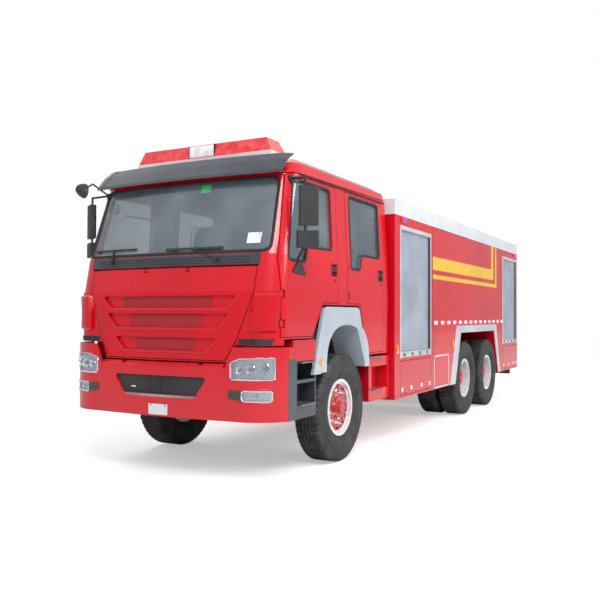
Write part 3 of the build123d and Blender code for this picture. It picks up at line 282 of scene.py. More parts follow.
@dataclass(frozen=True)
class Paint:
    """Vehicle paint: a base colour with a clear coat, faint dust low down and orange peel.

    lining is the middle of a room whose inside is a dark lining; the field after it is a (Y, Z) beyond and
    under which the part takes painted shade, near black, for its recesses.
    """

    name: str
    colour: Colour
    roughness: float = 0.32
    coat: float = 0.6
    dust: float = 0.05
    lining: Point | None = None
    dark_behind: Point2 | None = None
    lining_colour: Colour = (0.085, 0.087, 0.093)
    plastic_colour: Colour = (0.045, 0.052, 0.062)
    dust_colour: Colour = (0.42, 0.36, 0.31)

    def material(self) -> bpy.types.Material:
        """Builds the material.

        Returns:
            The material.
        """
        s = Shader(self.name, Coat_Weight=self.coat, Coat_Roughness=0.05, Specular_IOR_Level=0.25)
        cloud = s.noise(1.3, 4.0)
        low = s.place()["Z"].ramp(0.3, 1.3, 1.0, 0.0)
        dust = low * self.dust * cloud.ramp(0.35, 0.7, 0.4, 1.0)
        shade = tuple(c * 0.86 for c in self.colour)
        body = s.mix(cloud.ramp(0.35, 0.65), self.colour, shade)
        if self.lining:
            body = s.mix(self.inside(s), body, self.lining_colour)
        # Painted shade: the part beyond and under the given point takes a near black colour for its recesses.
        if self.dark_behind:
            place = s.place()
            behind = (place["Y"] > self.dark_behind[0]) * (place["Z"] < self.dark_behind[1])
            body = s.mix(behind, body, self.plastic_colour)
        s.set("Base Color", s.mix(dust, body, self.dust_colour))
        s.set("Roughness", dust * 2.0 + cloud.ramp(0.3, 0.7, self.roughness, self.roughness + 0.08))
        s.bump(s.noise(160.0, 1.0), 0.0002, 0.15)
        return s.material

    def inside(self, s: Shader) -> Value:
        """One on surfaces that face the middle of the room that the lining belongs to, else zero.

        Args:
            s: the paint's shader.

        Returns:
            The mask.
        """
        outward = s.node("ShaderNodeVectorMath", {"operation": "SUBTRACT"},
                         {0: s.node("ShaderNodeTexCoord")["Object"], 1: self.lining})["Vector"]
        normal = s.node("ShaderNodeTexCoord")["Normal"]
        facing = s.node("ShaderNodeVectorMath", {"operation": "DOT_PRODUCT"},
                        {0: normal, 1: outward})["Value"]
        return facing < 0.0


@dataclass(frozen=True)
class Bare:
    """Bare or plated metal with fine brushing and dull patches."""

    name: str
    colour: Colour
    roughness: float = 0.3
    brushing: float = 60.0
    metallic: float = 1.0

    def material(self) -> bpy.types.Material:
        """Builds the material.

        Returns:
            The material.
        """
        s = Shader(self.name, Metallic=self.metallic)
        grain = s.noise(self.brushing, 2.0, (1.0, 0.08, 1.0))
        patch = s.noise(2.5, 3.0)
        dull = tuple(c * 0.78 for c in self.colour)
        s.set("Base Color", s.mix(patch.ramp(0.35, 0.7), self.colour, dull))
        s.set("Roughness", grain.ramp(0.3, 0.7, self.roughness * 0.85, self.roughness * 1.25))
        s.bump(grain, 0.0001, 0.04)
        return s.material


@dataclass(frozen=True)
class Moulded:
    """Moulded plastic or cast metal with a fine pebble and worn, paler patches."""

    name: str
    colour: Colour
    roughness: float = 0.55
    pebble: float = 900.0
    relief: float = 0.0003
    coat: float = 0.0

    def material(self) -> bpy.types.Material:
        """Builds the material.

        Returns:
            The material.
        """
        s = Shader(self.name, Coat_Weight=self.coat, Coat_Roughness=0.08)
        patch = s.noise(3.0, 4.0)
        pale = tuple(min(1.0, c * 1.5 + 0.012) for c in self.colour)
        s.set("Base Color", s.mix(patch.ramp(0.4, 0.75), self.colour, pale))
        s.set("Roughness", patch.ramp(0.3, 0.7, self.roughness - 0.06, self.roughness + 0.08))
        s.bump(s.noise(self.pebble, 1.0), self.relief, 0.35)
        return s.material


@dataclass(frozen=True)
class Rubber:
    """Tyre rubber: near black, greyed by road dust in its hollows."""

    name: str
    colour: Colour = (0.022, 0.022, 0.024)

    def material(self) -> bpy.types.Material:
        """Builds the material.

        Returns:
            The material.
        """
        s = Shader(self.name)
        dust = s.noise(9.0, 5.0).ramp(0.42, 0.72)
        s.set("Base Color", s.mix(dust, self.colour, (0.075, 0.07, 0.065)))
        s.set("Roughness", dust.ramp(0.0, 1.0, 0.62, 0.9))
        s.bump(s.noise(420.0, 2.0), 0.0004, 0.4)
        return s.material


@dataclass(frozen=True)
class Glazing:
    """Thin window glass, tinted, with a trace of dust that dulls it."""

    name: str
    colour: Colour = (0.16, 0.2, 0.23)
    alpha: float = 0.42

    def material(self) -> bpy.types.Material:
        """Builds the material.

        Returns:
            The material.
        """
        s = Shader(self.name, Specular_IOR_Level=1.0, Coat_Weight=1.0, Coat_Roughness=0.02)
        film = s.noise(2.0, 4.0)
        s.set("Base Color", s.mix(film.ramp(0.4, 0.75), self.colour, tuple(c * 1.7 for c in self.colour)))
        s.set("Roughness", film.ramp(0.3, 0.7, 0.03, 0.09))
        s.set("Alpha", film.ramp(0.3, 0.7, self.alpha, min(1.0, self.alpha + 0.08)))
        return s.material


@dataclass(frozen=True)
class Lens:
    """A ribbed lamp lens with a bright core behind it."""

    name: str
    colour: Colour
    glow: float = 0.0
    ribs: float = 90.0

    def material(self) -> bpy.types.Material:
        """Builds the material.

        Returns:
            The material.
        """
        s = Shader(self.name, Coat_Weight=1.0, Coat_Roughness=0.03, Roughness=0.18,
                   Emission_Strength=self.glow)
        bright = s.noise(14.0, 2.0)
        pale = tuple(min(1.0, c * 1.3 + 0.05) for c in self.colour)
        shade = s.mix(bright.ramp(0.35, 0.7), self.colour, pale)
        s.set("Base Color", shade)
        if self.glow:
            s.set("Emission Color", shade)
        rib = (s.place()["X"] * self.ribs).math("SINE").ramp(-1.0, 1.0)
        s.bump(rib, 0.0015, 0.5)
        return s.material


@dataclass(frozen=True)
class RimPaint:
    """Wheel paint by distance from the axle: a coloured disc inside a white rim."""

    name: str
    centre: Point2
    disc: Colour
    rim: Colour = (0.8, 0.81, 0.83)
    rim_from: float = 0.243
    grime_colour: Colour = (0.16, 0.13, 0.11)

    def material(self) -> bpy.types.Material:
        """Builds the material.

        Returns:
            The material.
        """
        s = Shader(self.name, Coat_Weight=0.7, Coat_Roughness=0.08)
        place = s.place()
        across, up = place["Y"] - self.centre[0], place["Z"] - self.centre[1]
        radius = (across * across + up * up).math("SQRT")
        grime = s.noise(18.0, 4.0).ramp(0.4, 0.75) * 0.35
        paint = s.mix(radius > self.rim_from, self.disc, self.rim)
        s.set("Base Color", s.mix(grime, paint, self.grime_colour))
        s.set("Roughness", grime + 0.3)
        return s.material


@dataclass(frozen=True)
class Cloth:
    """Woven seat cloth with a fine cross weave."""

    name: str
    colour: Colour

    def material(self) -> bpy.types.Material:
        """Builds the material.

        Returns:
            The material.
        """
        s = Shader(self.name, Roughness=0.92)
        place = s.place()
        along, over = (place["X"] * 1400.0).math("SINE"), (place["Z"] * 1400.0).math("SINE")
        weave = (along * over).ramp(-1.0, 1.0)
        worn = s.noise(6.0, 4.0).ramp(0.4, 0.7)
        pale = tuple(c * 1.7 + 0.01 for c in self.colour)
        s.set("Base Color", s.mix(worn * 0.6 + weave * 0.3, self.colour, pale))
        s.bump(weave, 0.0006, 0.6)
        return s.material


@dataclass(frozen=True)
class Net:
    """Pressed mesh: crossed wires over holes filled with painted shade."""

    name: str
    wire: Colour
    hole: Colour
    pitch: float = 0.014

    def material(self) -> bpy.types.Material:
        """Builds the material.

        Returns:
            The material.
        """
        s = Shader(self.name, Roughness=0.5)
        place = s.place()
        turn = 2 * math.pi / self.pitch
        one = ((place["X"] + place["Z"]) * turn).math("SINE").ramp(0.0, 0.5)
        two = ((place["X"] - place["Z"]) * turn).math("SINE").ramp(0.0, 0.5)
        wires = 1.0 - (1.0 - one) * (1.0 - two)
        # The holes take painted shade for what lies behind the mesh.
        s.set("Base Color", s.mix(wires, self.hole, self.wire))
        s.bump(wires, 0.002, 0.6)
        return s.material


@dataclass(frozen=True)
class Tread:
    """Aluminium tread plate: raised bars with a painted highlight on their tops and painted shade between
    them.
    """

    name: str
    pitch: float = 0.03

    def material(self) -> bpy.types.Material:
        """Builds the material.

        Returns:
            The material.
        """
        s = Shader(self.name, Metallic=0.9)
        place = s.place()
        turn = math.pi / self.pitch
        diagonal = ((place["X"] + place["Y"]) * turn).math("SINE")
        other = ((place["X"] - place["Y"]) * turn).math("SINE")
        bar = (diagonal * other).ramp(0.3, 0.7)
        dirt = s.noise(12.0, 4.0).ramp(0.4, 0.7)
        # Painted highlight on the bars' tops and painted shade between them; the dirt noise only roughens.
        s.set("Base Color", s.mix(bar, (0.3, 0.3, 0.31), (0.66, 0.67, 0.69)))
        s.set("Roughness", dirt.ramp(0.0, 1.0, 0.28, 0.55))
        s.bump(bar, 0.002, 0.8)
        return s.material


class Run(Enum):
    """The direction that a prism is drawn out along, by its axis number."""

    X = 0
    Y = 1
    Z = 2

    def point(self, flat: Point2, along: float) -> Vector:
        """A point of the outline, set at a place along the run.

        Args:
            flat: the outline's point, on the other two axes.
            along: the place along the run.

        Returns:
            The point in the frame.
        """
        others = [axis for axis in range(3) if axis != self.value]
        made = [0.0, 0.0, 0.0]
        made[self.value] = along
        made[others[0]], made[others[1]] = flat
        return Vector(made)


class Piece:
    """One visible piece: shapes gathered into a mesh that then rides on a body."""

    def __init__(self, name: str, body: str, material: bpy.types.Material, slot: str) -> None:
        """Starts an empty piece.

        Args:
            name: the object's name.
            body: the CAD body that it rides on.
            material: its finish.
            slot: the record's material slot that it stands for; kept on the piece and not used.
        """
        self.name, self.body, self.material, self.slot = name, body, material, slot
        self.mesh = bmesh.new()

    def _bevelled(self, faces: Iterable[bmesh.types.BMFace], bevel: float) -> None:
        """Rounds the edges of a new closed shape.

        Args:
            faces: the shape's faces.
            bevel: the rounding, or 0 to leave the edges sharp.
        """
        edges = list({edge for face in faces for edge in face.edges})
        sharp = [e for e in edges if len(e.link_faces) == 2 and e.calc_face_angle(0.0) > 0.5]
        if bevel > 0 and sharp:
            bmesh.ops.bevel(self.mesh, geom=sharp, offset=bevel, segments=2, affect="EDGES",
                            clamp_overlap=True, profile=0.6)

    def loft(self, rings: Sequence[Sequence[bmesh.types.BMVert]],
             closed: bool = False) -> list[bmesh.types.BMFace]:
        """Joins rings of as many corners each with faces.

        Args:
            rings: the rings' vertices, in order along the shape.
            closed: whether the last ring joins the first; if not, both ends are capped.

        Returns:
            The new faces.
        """
        faces = []
        followers = [*rings[1:], rings[0]] if closed else rings[1:]
        for one, two in zip(rings, followers):
            for i in range(len(one)):
                j = (i + 1) % len(one)
                faces.append(self.mesh.faces.new([one[i], one[j], two[j], two[i]]))
        if not closed:
            faces += [self.mesh.faces.new(rings[0]), self.mesh.faces.new(list(reversed(rings[-1])))]
        bmesh.ops.recalc_face_normals(self.mesh, faces=faces)
        return faces

    def prism(self, outline: Sequence[Point2], run: Run, span: Point2, bevel: float = 0.0) -> "Piece":
        """Draws a flat outline out along an axis.

        Args:
            outline: corners on the other two axes, in X, Y, Z order.
            run: the axis.
            span: where it starts and ends along the axis.
            bevel: the edges' rounding.

        Returns:
            This piece.
        """
        rings = [[self.mesh.verts.new(run.point(flat, along)) for flat in outline]
                 for along in sorted(span)]
        self._bevelled(self.loft(rings), bevel)
        return self

    def block(self, x: Point2, y: Point2, z: Point2, bevel: float = 0.002) -> "Piece":
        """A bevelled box between three pairs of limits."""
        return self.prism([(x[0], y[0]), (x[1], y[0]), (x[1], y[1]), (x[0], y[1])], Run.Z, z, bevel)

    def lathe(self, profile: Sequence[Point2], centre: Point, run: Run = Run.X, steps: int = 32) -> "Piece":
        """Turns a profile round an axis.

        Args:
            profile: (distance along, radius) pairs; an end with no radius closes on the axis.
            centre: a point on the axis, from which the distances count.
            run: the axis.
            steps: facets round.

        Returns:
            This piece.
        """
        middle = Vector(centre)
        rings = []
        for along, radius in profile:
            if radius < 1e-6:
                rings.append([self.mesh.verts.new(middle + run.point((0, 0), along))])
                continue
            turns = [2 * math.pi * k / steps for k in range(steps)]
            rings.append([self.mesh.verts.new(
                middle + run.point((radius * math.cos(t), radius * math.sin(t)), along)) for t in turns])
        faces = []
        for one, two in zip(rings, rings[1:]):
            for k in range(steps):
                corners = [one[k % len(one)], one[(k + 1) % len(one)],
                           two[(k + 1) % len(two)], two[k % len(two)]]
                distinct = list(dict.fromkeys(corners))
                if len(distinct) > 2:
                    faces.append(self.mesh.faces.new(distinct))
        bmesh.ops.recalc_face_normals(self.mesh, faces=faces)
        return self

    def tube(self, path: Sequence[Point], radius: float, sides: int = 10, closed: bool = False,
             flat: float = 1.0, flat_axis: Vector = Vector((0, 0, 1))) -> "Piece":
        """A tube along a path.

        Args:
            path: the points that it passes.
            radius: its radius.
            sides: facets round.
            closed: whether the last point joins the first.
            flat: how thin it is along flat_axis, 1 for round.
            flat_axis: the direction that is squeezed.

        Returns:
            This piece.
        """
        points = [Vector(p) for p in path]
        count = len(points)
        rings = []
        for i, point in enumerate(points):
            before = points[i - 1] if closed or i else point
            after = points[(i + 1) % count] if closed or i < count - 1 else point
            forward = (after - before).normalized()
            guide = flat_axis if abs(forward.dot(flat_axis)) < 0.95 else Vector((1, 0.1, 0))
            across = forward.cross(guide).normalized()
            over = across.cross(forward).normalized()
            rings.append([self.mesh.verts.new(
                point + across * radius * math.cos(t) + over * radius * flat * math.sin(t))
                for t in (2 * math.pi * k / sides for k in range(sides))])
        self.loft(rings, closed)
        return self

    def both_sides(self) -> "Piece":
        """Adds the mirror image of everything so far across the truck's middle.

        Returns:
            This piece.
        """
        everything = self.mesh.verts[:] + self.mesh.edges[:] + self.mesh.faces[:]
        copy = bmesh.ops.duplicate(self.mesh, geom=everything)
        verts = [g for g in copy["geom"] if isinstance(g, bmesh.types.BMVert)]
        faces = [g for g in copy["geom"] if isinstance(g, bmesh.types.BMFace)]
        for vert in verts:
            vert.co.x = -vert.co.x
        bmesh.ops.reverse_faces(self.mesh, faces=faces)
        return self

    def done(self, smooth: float = 35.0) -> bpy.types.Object:
        """Makes the object and seats it on its body.

        Args:
            smooth: the angle in degrees under which neighbouring faces shade as one.

        Returns:
            The object.
        """
        data = bpy.data.meshes.new(self.name)
        self.mesh.to_mesh(data)
        self.mesh.free()
        data.materials.append(self.material)
        data.shade_smooth()
        data.set_sharp_from_angle(angle=math.radians(smooth))
        made = bpy.data.objects.new(self.name, data)
        bpy.context.scene.collection.objects.link(made)
        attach(made, self.body)
        log.info("%s on %s: %d faces", self.name, self.body, len(data.polygons))
        return made


class Skin:
    """The outside of some CAD nodes, which trim is laid on."""

    REACH = 20.0

    def __init__(self, *nodes: str) -> None:
        """Gathers the nodes' meshes.

        Args:
            nodes: the CAD nodes' names.
        """
        made = bmesh.new()
        for name in nodes:
            made.from_mesh(bpy.data.objects[name].data)
        self.tree = BVHTree.FromBMesh(made)
        made.free()

    def meet(self, start: Vector, direction: Vector) -> Vector | None:
        """Where a ray first meets the skin, or None."""
        return self.tree.ray_cast(start, direction, self.REACH)[0]

    def from_front(self, x: float, z: float) -> Vector | None:
        """Where a level ray from ahead of the truck first meets the skin, or None."""
        return self.meet(Vector((x, AHEAD, z)), REARWARD)

    def from_side(self, sign: int, y: float, z: float) -> Vector | None:
        """Where a level ray from the side with that sign first meets the skin, or None."""
        return self.meet(Vector((sign * BESIDE, y, z)), -sign * ACROSS)

    def trace(self, outline: Sequence[Point2], run: Run, start: float, step: float = 0.04) -> list[Vector]:
        """Lays a closed outline on the skin.

        Args:
            outline: corners on the two axes other than the run.
            run: the axis that the outline is projected along.
            start: where the projection starts along it; it goes towards zero.
            step: the spacing of the points.

        Returns:
            Points on the skin, in order round the outline.
        """
        direction = run.point((0, 0), -math.copysign(1.0, start))
        result, along = [], abs(start)
        for flat in spaced(outline, step):
            met = self.meet(run.point(flat, start), direction)
            along = met[run.value] if met else along
            result.append(run.point(flat, along))
        return result


def spaced(outline: Sequence[Point2], step: float) -> list[Point2]:
    """A closed outline's points at an even spacing, its corners kept.

    Args:
        outline: the outline's corners.
        step: the spacing of the points.

    Returns:
        The points, in order.
    """
    result = []
    for one, two in zip(outline, [*outline[1:], outline[0]]):
        count = max(1, round(math.dist(one, two) / step))
        result += [(one[0] + (two[0] - one[0]) * k / count, one[1] + (two[1] - one[1]) * k / count)
                   for k in range(count)]
    return result


def rounded(outline: Sequence[Point2], radius: float, steps: int = 5) -> list[Point2]:
    """A closed outline with its corners rounded.

    Args:
        outline: the sharp corners.
        radius: the corners' radius.
        steps: points at each corner, less one.

    Returns:
        The rounded outline.
    """
    result = []
    count = len(outline)
    for i, corner in enumerate(outline):
        here = Vector(corner)
        before, after = Vector(outline[i - 1]) - here, Vector(outline[(i + 1) % count]) - here
        reach = min(radius / math.tan(before.angle(after) / 2), before.length / 2, after.length / 2)
        first, last = here + before.normalized() * reach, here + after.normalized() * reach
        for k in range(steps + 1):
            t = k / steps
            spot = first * (1 - t) ** 2 + here * 2 * t * (1 - t) + last * t * t
            result.append((spot.x, spot.y))
    return result


@dataclass(frozen=True)
class Viewpoint:
    """The photograph's camera."""

    place: Point = (4.4654, -10.2042, 1.5255)
    azimuth: float = 28.627
    elevation: float = 1.19
    roll: float = 0.2308
    lens: float = 44.17

    def build(self) -> None:
        """Makes the camera and sets it as the scene's."""
        turn, tilt = math.radians(self.azimuth), math.radians(self.elevation)
        forward = Vector((-math.sin(turn) * math.cos(tilt), math.cos(turn) * math.cos(tilt), math.sin(tilt)))
        right = Vector((math.cos(turn), math.sin(turn), 0))
        up = right.cross(forward)
        roll = math.radians(self.roll)
        level = right * math.cos(roll) + up * math.sin(roll)
        lifted = up * math.cos(roll) - right * math.sin(roll)
        data = bpy.data.cameras.new("camera")
        data.lens, data.sensor_width = self.lens, 36.0
        made = bpy.data.objects.new("camera", data)
        frame = Matrix((level, lifted, -forward)).transposed().to_4x4()
        made.matrix_world = Matrix.Translation(self.place) @ frame
        bpy.context.scene.collection.objects.link(made)
        bpy.context.scene.camera = made


@dataclass(frozen=True)
class Lamp:
    """A soft area light that looks at the truck's middle."""

    name: str
    place: Point
    size: float
    power: float
    colour: Colour = (1.0, 1.0, 1.0)
    target: Point = (0.0, -1.0, 1.4)

    def build(self) -> None:
        """Makes the light."""
        data = bpy.data.lights.new(self.name, "AREA")
        data.shape, data.size, data.energy, data.color = "DISK", self.size, self.power, self.colour
        made = bpy.data.objects.new(self.name, data)
        made.location = self.place
        way = Vector(self.target) - Vector(self.place)
        made.rotation_euler = way.to_track_quat("-Z", "Y").to_euler()
        bpy.context.scene.collection.objects.link(made)


@dataclass(frozen=True)
class Studio:
    """The pale floor, the even world light and the lamps."""

    floor_half: float = 60.0
    floor_colour: Colour = (0.8, 0.8, 0.8)
    floor_glow: float = 0.42
    fade: Point2 = (7.0, 15.0)
    sky: Colour = (0.93, 0.97, 1.0)
    horizon: Colour = (0.42, 0.44, 0.47)
    world_level: float = 0.8
    lamps: tuple[Lamp, ...] = (
        Lamp("key_lamp", (9.0, -13.0, 12.0), 7.0, 1500.0),
        Lamp("side_lamp", (16.0, 2.0, 9.0), 8.0, 1200.0),
        Lamp("back_lamp", (-12.0, 12.0, 11.0), 8.0, 900.0),
    )

    def build(self) -> None:
        """Makes the floor, the world and the lamps."""
        self.floor()
        self.world()
        for lamp in self.lamps:
            lamp.build()
        bpy.context.scene.view_settings.view_transform = "Standard"

    def floor(self) -> None:
        """The plain floor, brighter to the camera than to the truck."""
        half = self.floor_half
        data = bpy.data.meshes.new("floor")
        corners = [(-half, -half, 0), (half, -half, 0), (half, half, 0), (-half, half, 0)]
        data.from_pydata(corners, [], [(0, 1, 2, 3)])
        s = Shader("floor_paint", Roughness=0.9)
        s.set("Base Color", s.mix(s.noise(0.4, 2.0) * 0.06, self.floor_colour, (0.7, 0.7, 0.7)))
        self.whiten(s)
        data.materials.append(s.material)
        made = bpy.data.objects.new("floor", data)
        bpy.context.scene.collection.objects.link(made)

    def whiten(self, s: Shader) -> None:
        """Adds light to what the camera sees of the floor, up to plain white away from the truck.

        Args:
            s: the floor's shader.
        """
        output = s.nodes["Material Output"]
        place = s.place()
        radius = (place["X"] * place["X"] + place["Y"] * place["Y"]).math("SQRT")
        seen = s.node("ShaderNodeLightPath")["Is Camera Ray"]
        glow = s.node("ShaderNodeEmission", {}, {"Color": (1.0, 1.0, 1.0), "Strength": self.floor_glow})
        white = s.node("ShaderNodeEmission", {}, {"Color": (1.0, 1.0, 1.0), "Strength": 1.0})
        lit = s.node("ShaderNodeAddShader")["Shader"].socket.node
        s.links.new(s.principled.outputs[0], lit.inputs[0])
        s.links.new(glow["Emission"].socket, lit.inputs[1])
        near = s.node("ShaderNodeMixShader", {}, {0: radius.ramp(*self.fade)})["Shader"].socket.node
        s.links.new(lit.outputs[0], near.inputs[1])
        s.links.new(white["Emission"].socket, near.inputs[2])
        both = s.node("ShaderNodeMixShader", {}, {0: seen})["Shader"].socket.node
        s.links.new(s.principled.outputs[0], both.inputs[1])
        s.links.new(near.outputs[0], both.inputs[2])
        s.links.new(both.outputs[0], output.inputs["Surface"])

    def world(self) -> None:
        """An even sky that is white to the camera, paler overhead than at the horizon for the rest."""
        made = bpy.data.worlds.new("studio")
        made.use_nodes = True
        bpy.context.scene.world = made
        t = NodeTree(made.node_tree)
        up = t.node("ShaderNodeSeparateXYZ", {}, {"Vector": t.node("ShaderNodeTexCoord")["Generated"]})["Z"]
        lit = t.mix(up.ramp(0.0, 0.55), self.horizon, self.sky)
        even = t.nodes["Background"]
        t.links.new(lit.socket, even.inputs["Color"])
        even.inputs["Strength"].default_value = self.world_level
        white = t.node("ShaderNodeBackground", {}, {"Color": (1.0, 1.0, 1.0), "Strength": 1.0})["Background"]
        seen = t.node("ShaderNodeLightPath")["Is Camera Ray"]
        both = t.node("ShaderNodeMixShader", {}, {0: seen})["Shader"].socket.node
        t.links.new(even.outputs[0], both.inputs[1])
        t.links.new(white.socket, both.inputs[2])
        t.links.new(both.outputs[0], t.nodes["World Output"].inputs["Surface"])


RED: Colour = (0.66, 0.0015, 0.012)
WHITE: Colour = (0.76, 0.77, 0.79)


class Palette:
    """Every shared finish of the truck, made once."""

    def __init__(self) -> None:
        """Builds the materials."""
        self.red = Paint("red_paint", RED, 0.25).material()
        self.cab_red = Paint("cab_paint", RED, 0.25, lining=(0.0, back(1.5), 2.15)).material()
        # The step recesses behind the bumper's face take painted shade.
        self.step_red = Paint("step_paint", RED, 0.3, dark_behind=(back(0.29), 1.135)).material()
        self.white = Paint("white_paint", WHITE, 0.3).material()
        self.fender_grey = Paint("fender_grey", (0.47, 0.53, 0.585), 0.33).material()
        self.chassis = Paint("chassis_paint", (0.03, 0.03, 0.034), 0.5, 0.2, 0.5).material()
        self.iron = Moulded("cast_iron", (0.11, 0.115, 0.12), 0.6, 300.0, 0.001).material()
        self.shutter = Bare("shutter_metal", (0.52, 0.58, 0.66), 0.38, 60.0, 0.55).material()
        self.trim = Bare("bright_trim", (0.74, 0.76, 0.79), 0.36, 220.0, 0.45).material()
        self.chrome = Bare("chrome", (0.82, 0.83, 0.85), 0.08, 20.0).material()
        self.black = Moulded("black_plastic", (0.016, 0.016, 0.018), 0.5).material()
        self.gloss_black = Moulded("gloss_black", (0.012, 0.012, 0.014), 0.2, 900.0, 0.0001, 0.8).material()
        self.seal = Moulded("rubber_seal", (0.012, 0.012, 0.013), 0.7).material()
        self.smoke = Moulded("smoked_plastic", (0.022, 0.026, 0.034), 0.14, 900.0, 0.0001, 1.0).material()
        self.cowl = Moulded("cowl_plastic", (0.03, 0.036, 0.046), 0.35, 900.0, 0.0002, 0.4).material()
        self.grey = Moulded("grey_plastic", (0.14, 0.145, 0.155), 0.55).material()
        self.interior = Moulded("interior_plastic", (0.07, 0.07, 0.075), 0.7).material()
        self.glass = Glazing("window_glass").material()
        self.tyre = Rubber("tyre_rubber").material()
        self.cloth = Cloth("seat_cloth", (0.03, 0.032, 0.04)).material()
        self.tread = Tread("tread_plate").material()
        self.red_net = Net("red_net", (0.5, 0.01, 0.02), (0.09, 0.004, 0.008)).material()
        self.bowl = Bare("lamp_bowl", (0.46, 0.51, 0.57), 0.3, 12.0, 0.8).material()
        self.cover = Glazing("lamp_cover", (0.45, 0.5, 0.56), 0.22).material()
        self.mirror = Bare("mirror_glass", (0.75, 0.8, 0.85), 0.03, 10.0).material()
        self.red_lens = Lens("red_lens", (0.62, 0.006, 0.012), 0.15).material()
        self.clear_lens = Lens("clear_lens", (0.72, 0.74, 0.78), 0.1).material()
        self.amber_lens = Lens("amber_lens", (0.85, 0.26, 0.01), 0.15).material()
        self.blue_lens = Lens("blue_lens", (0.03, 0.09, 0.6), 0.15).material()
        self.yellow = Paint("yellow_stripe", (0.86, 0.52, 0.02), 0.35, 0.5).material()
        self.reflective = Moulded("reflective_tape", (0.78, 0.79, 0.82), 0.3, 600.0, 0.0004, 0.6).material()


class Frame:
    """The CAD nodes, dressed as they stand."""

    WHEEL_Y = {"front": 1.6, "rear_1": 5.925, "rear_2": 7.275}
    AXLE_Z = 0.5625
    FRONT_DISC: Colour = (0.55, 0.012, 0.012)
    # The rear discs' red is painted darker than the front's: painted shade deep in their dish.
    REAR_DISC: Colour = (0.3, 0.02, 0.02)

    def __init__(self, palette: Palette) -> None:
        """Keeps the finishes."""
        self.palette = palette

    def dress(self) -> None:
        """Gives every CAD node its finish."""
        p = self.palette
        finishes = {
            p.cab_red: "cab_shell front_door_left front_door_right rear_door_left rear_door_right",
            p.step_red: "bumper front_steps",
            p.red: """front_panel side_steps body_front_locker body_tank_section body_pump_bay
                lower_lockers front_flap_left front_flap_right rear_flap_left rear_flap_right
                monitor_swivel monitor_barrel""",
            p.white: "roof_parapet light_bar_base",
            p.fender_grey: "front_fenders",
            p.chassis: """ladder_frame axles leaf_springs driveline knuckle_left knuckle_right
                track_rod""",
            p.iron: "engine_block",
            p.shutter: "shutters",
            p.trim: "arch_trims rear_ladder",
            p.black: "wipers mirrors_left mirrors_right bumper_grille",
            p.interior: "dashboard",
            p.smoke: "sun_visor",
            p.clear_lens: "front_lamps",
            p.red_lens: "light_bar_lenses body_lamps",
            p.tyre: """front_tyre_left front_tyre_right rear_tyres_1_left rear_tyres_1_right
                rear_tyres_2_left rear_tyres_2_right""",
            p.glass: """windscreen front_door_glass_left front_door_glass_right rear_door_glass_left
                rear_door_glass_right""",
            p.cloth: "seats",
        }
        for material, names in finishes.items():
            for name in names.split():
                self.paint(name, material)
        for axle, distance in self.WHEEL_Y.items():
            centre = (back(distance), self.AXLE_Z)
            disc = self.FRONT_DISC if axle == "front" else self.REAR_DISC
            rim = RimPaint(f"{axle}_rim_paint", centre, disc).material()
            for side in Side:
                stem = "front_rim" if axle == "front" else f"rear_rims_{axle[-1]}"
                self.paint(f"{stem}_{side.label}", rim)

    @staticmethod
    def paint(node: str, material: bpy.types.Material) -> None:
        """Puts one material on a CAD node.

        Args:
            node: the CAD node's name.
            material: the material.
        """
        data = bpy.data.objects[node].data
        data.materials.clear()
        data.materials.append(material)


@dataclass
class Tyre:
    """A block-tread tyre that stands for a CAD tyre."""

    radius: float = 0.5625
    width: float = 0.315
    bead: float = 0.29
    groove: float = 0.013
    blocks: int = 56
    steps_per_block: int = 4
    # The tread's ribs, from low to high across; the outer ones are cut through, the others in part
    ribs: tuple[Point2, ...] = ((-0.118, -0.068), (-0.060, -0.024), (-0.016, 0.016), (0.024, 0.060),
                                (0.068, 0.118))
    middle_to: float = 0.15
    middle_cut: float = 0.55

    def section(self) -> list[tuple[float, float, float]]:
        """The profile from the inner bead to the outer.

        Returns:
            (distance across, radius, how deep a cross groove cuts there) for each point.
        """
        half, top = self.width / 2, self.radius
        shoulder = half - 0.036
        wall = [(0.100, self.bead, 0), (0.105, self.bead + 0.008, 0), (half - 0.025, 0.345, 0),
                (half, 0.386, 0), (half, 0.4, 0), (half - 0.003, 0.44, 0), (half - 0.001, 0.445, 0),
                (half - 0.001, 0.452, 0), (half - 0.005, 0.458, 0), (half - 0.007, 0.49, 0),
                (half - 0.014, 0.522, 0.6), (shoulder + 0.008, top - 0.012, 1)]
        ribs = []
        for low, high in self.ribs:
            cut = 1.0 if abs(low + high) > self.middle_to else self.middle_cut
            ribs += [(low, top - self.groove, 0), (low + 0.001, top - 0.001, cut),
                     (high - 0.001, top - 0.001, cut), (high, top - self.groove, 0)]
        ribs[0] = (-shoulder, top - 0.004, 1)
        ribs[-1] = (shoulder, top - 0.004, 1)
        return [(-a, r, c) for a, r, c in wall] + ribs + list(reversed(wall))

    def build(self, name: str, body: str, node: str, centres: Sequence[Point], palette: Palette) -> None:
        """Makes the tyres of one CAD node.

        Args:
            name: the piece's name.
            body: the body that turns.
            node: the CAD node it stands for.
            centres: the middle of each tyre.
            palette: the finishes.
        """
        piece = Piece(name, body, palette.tyre, "tyre_rubber")
        count = self.blocks * self.steps_per_block
        profile = self.section()
        for centre in centres:
            middle = Vector(centre)
            rings = []
            for k in range(count):
                turn = 2 * math.pi * k / count
                depth = self.groove if k % self.steps_per_block == 0 else 0.0
                radial = Vector((0, math.cos(turn), math.sin(turn)))
                rings.append([piece.mesh.verts.new(middle + ACROSS * across + radial * (r - depth * cut))
                              for across, r, cut in profile])
            piece.loft(rings, closed=True)
        made = piece.done(28.0)
        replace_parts(made, node)


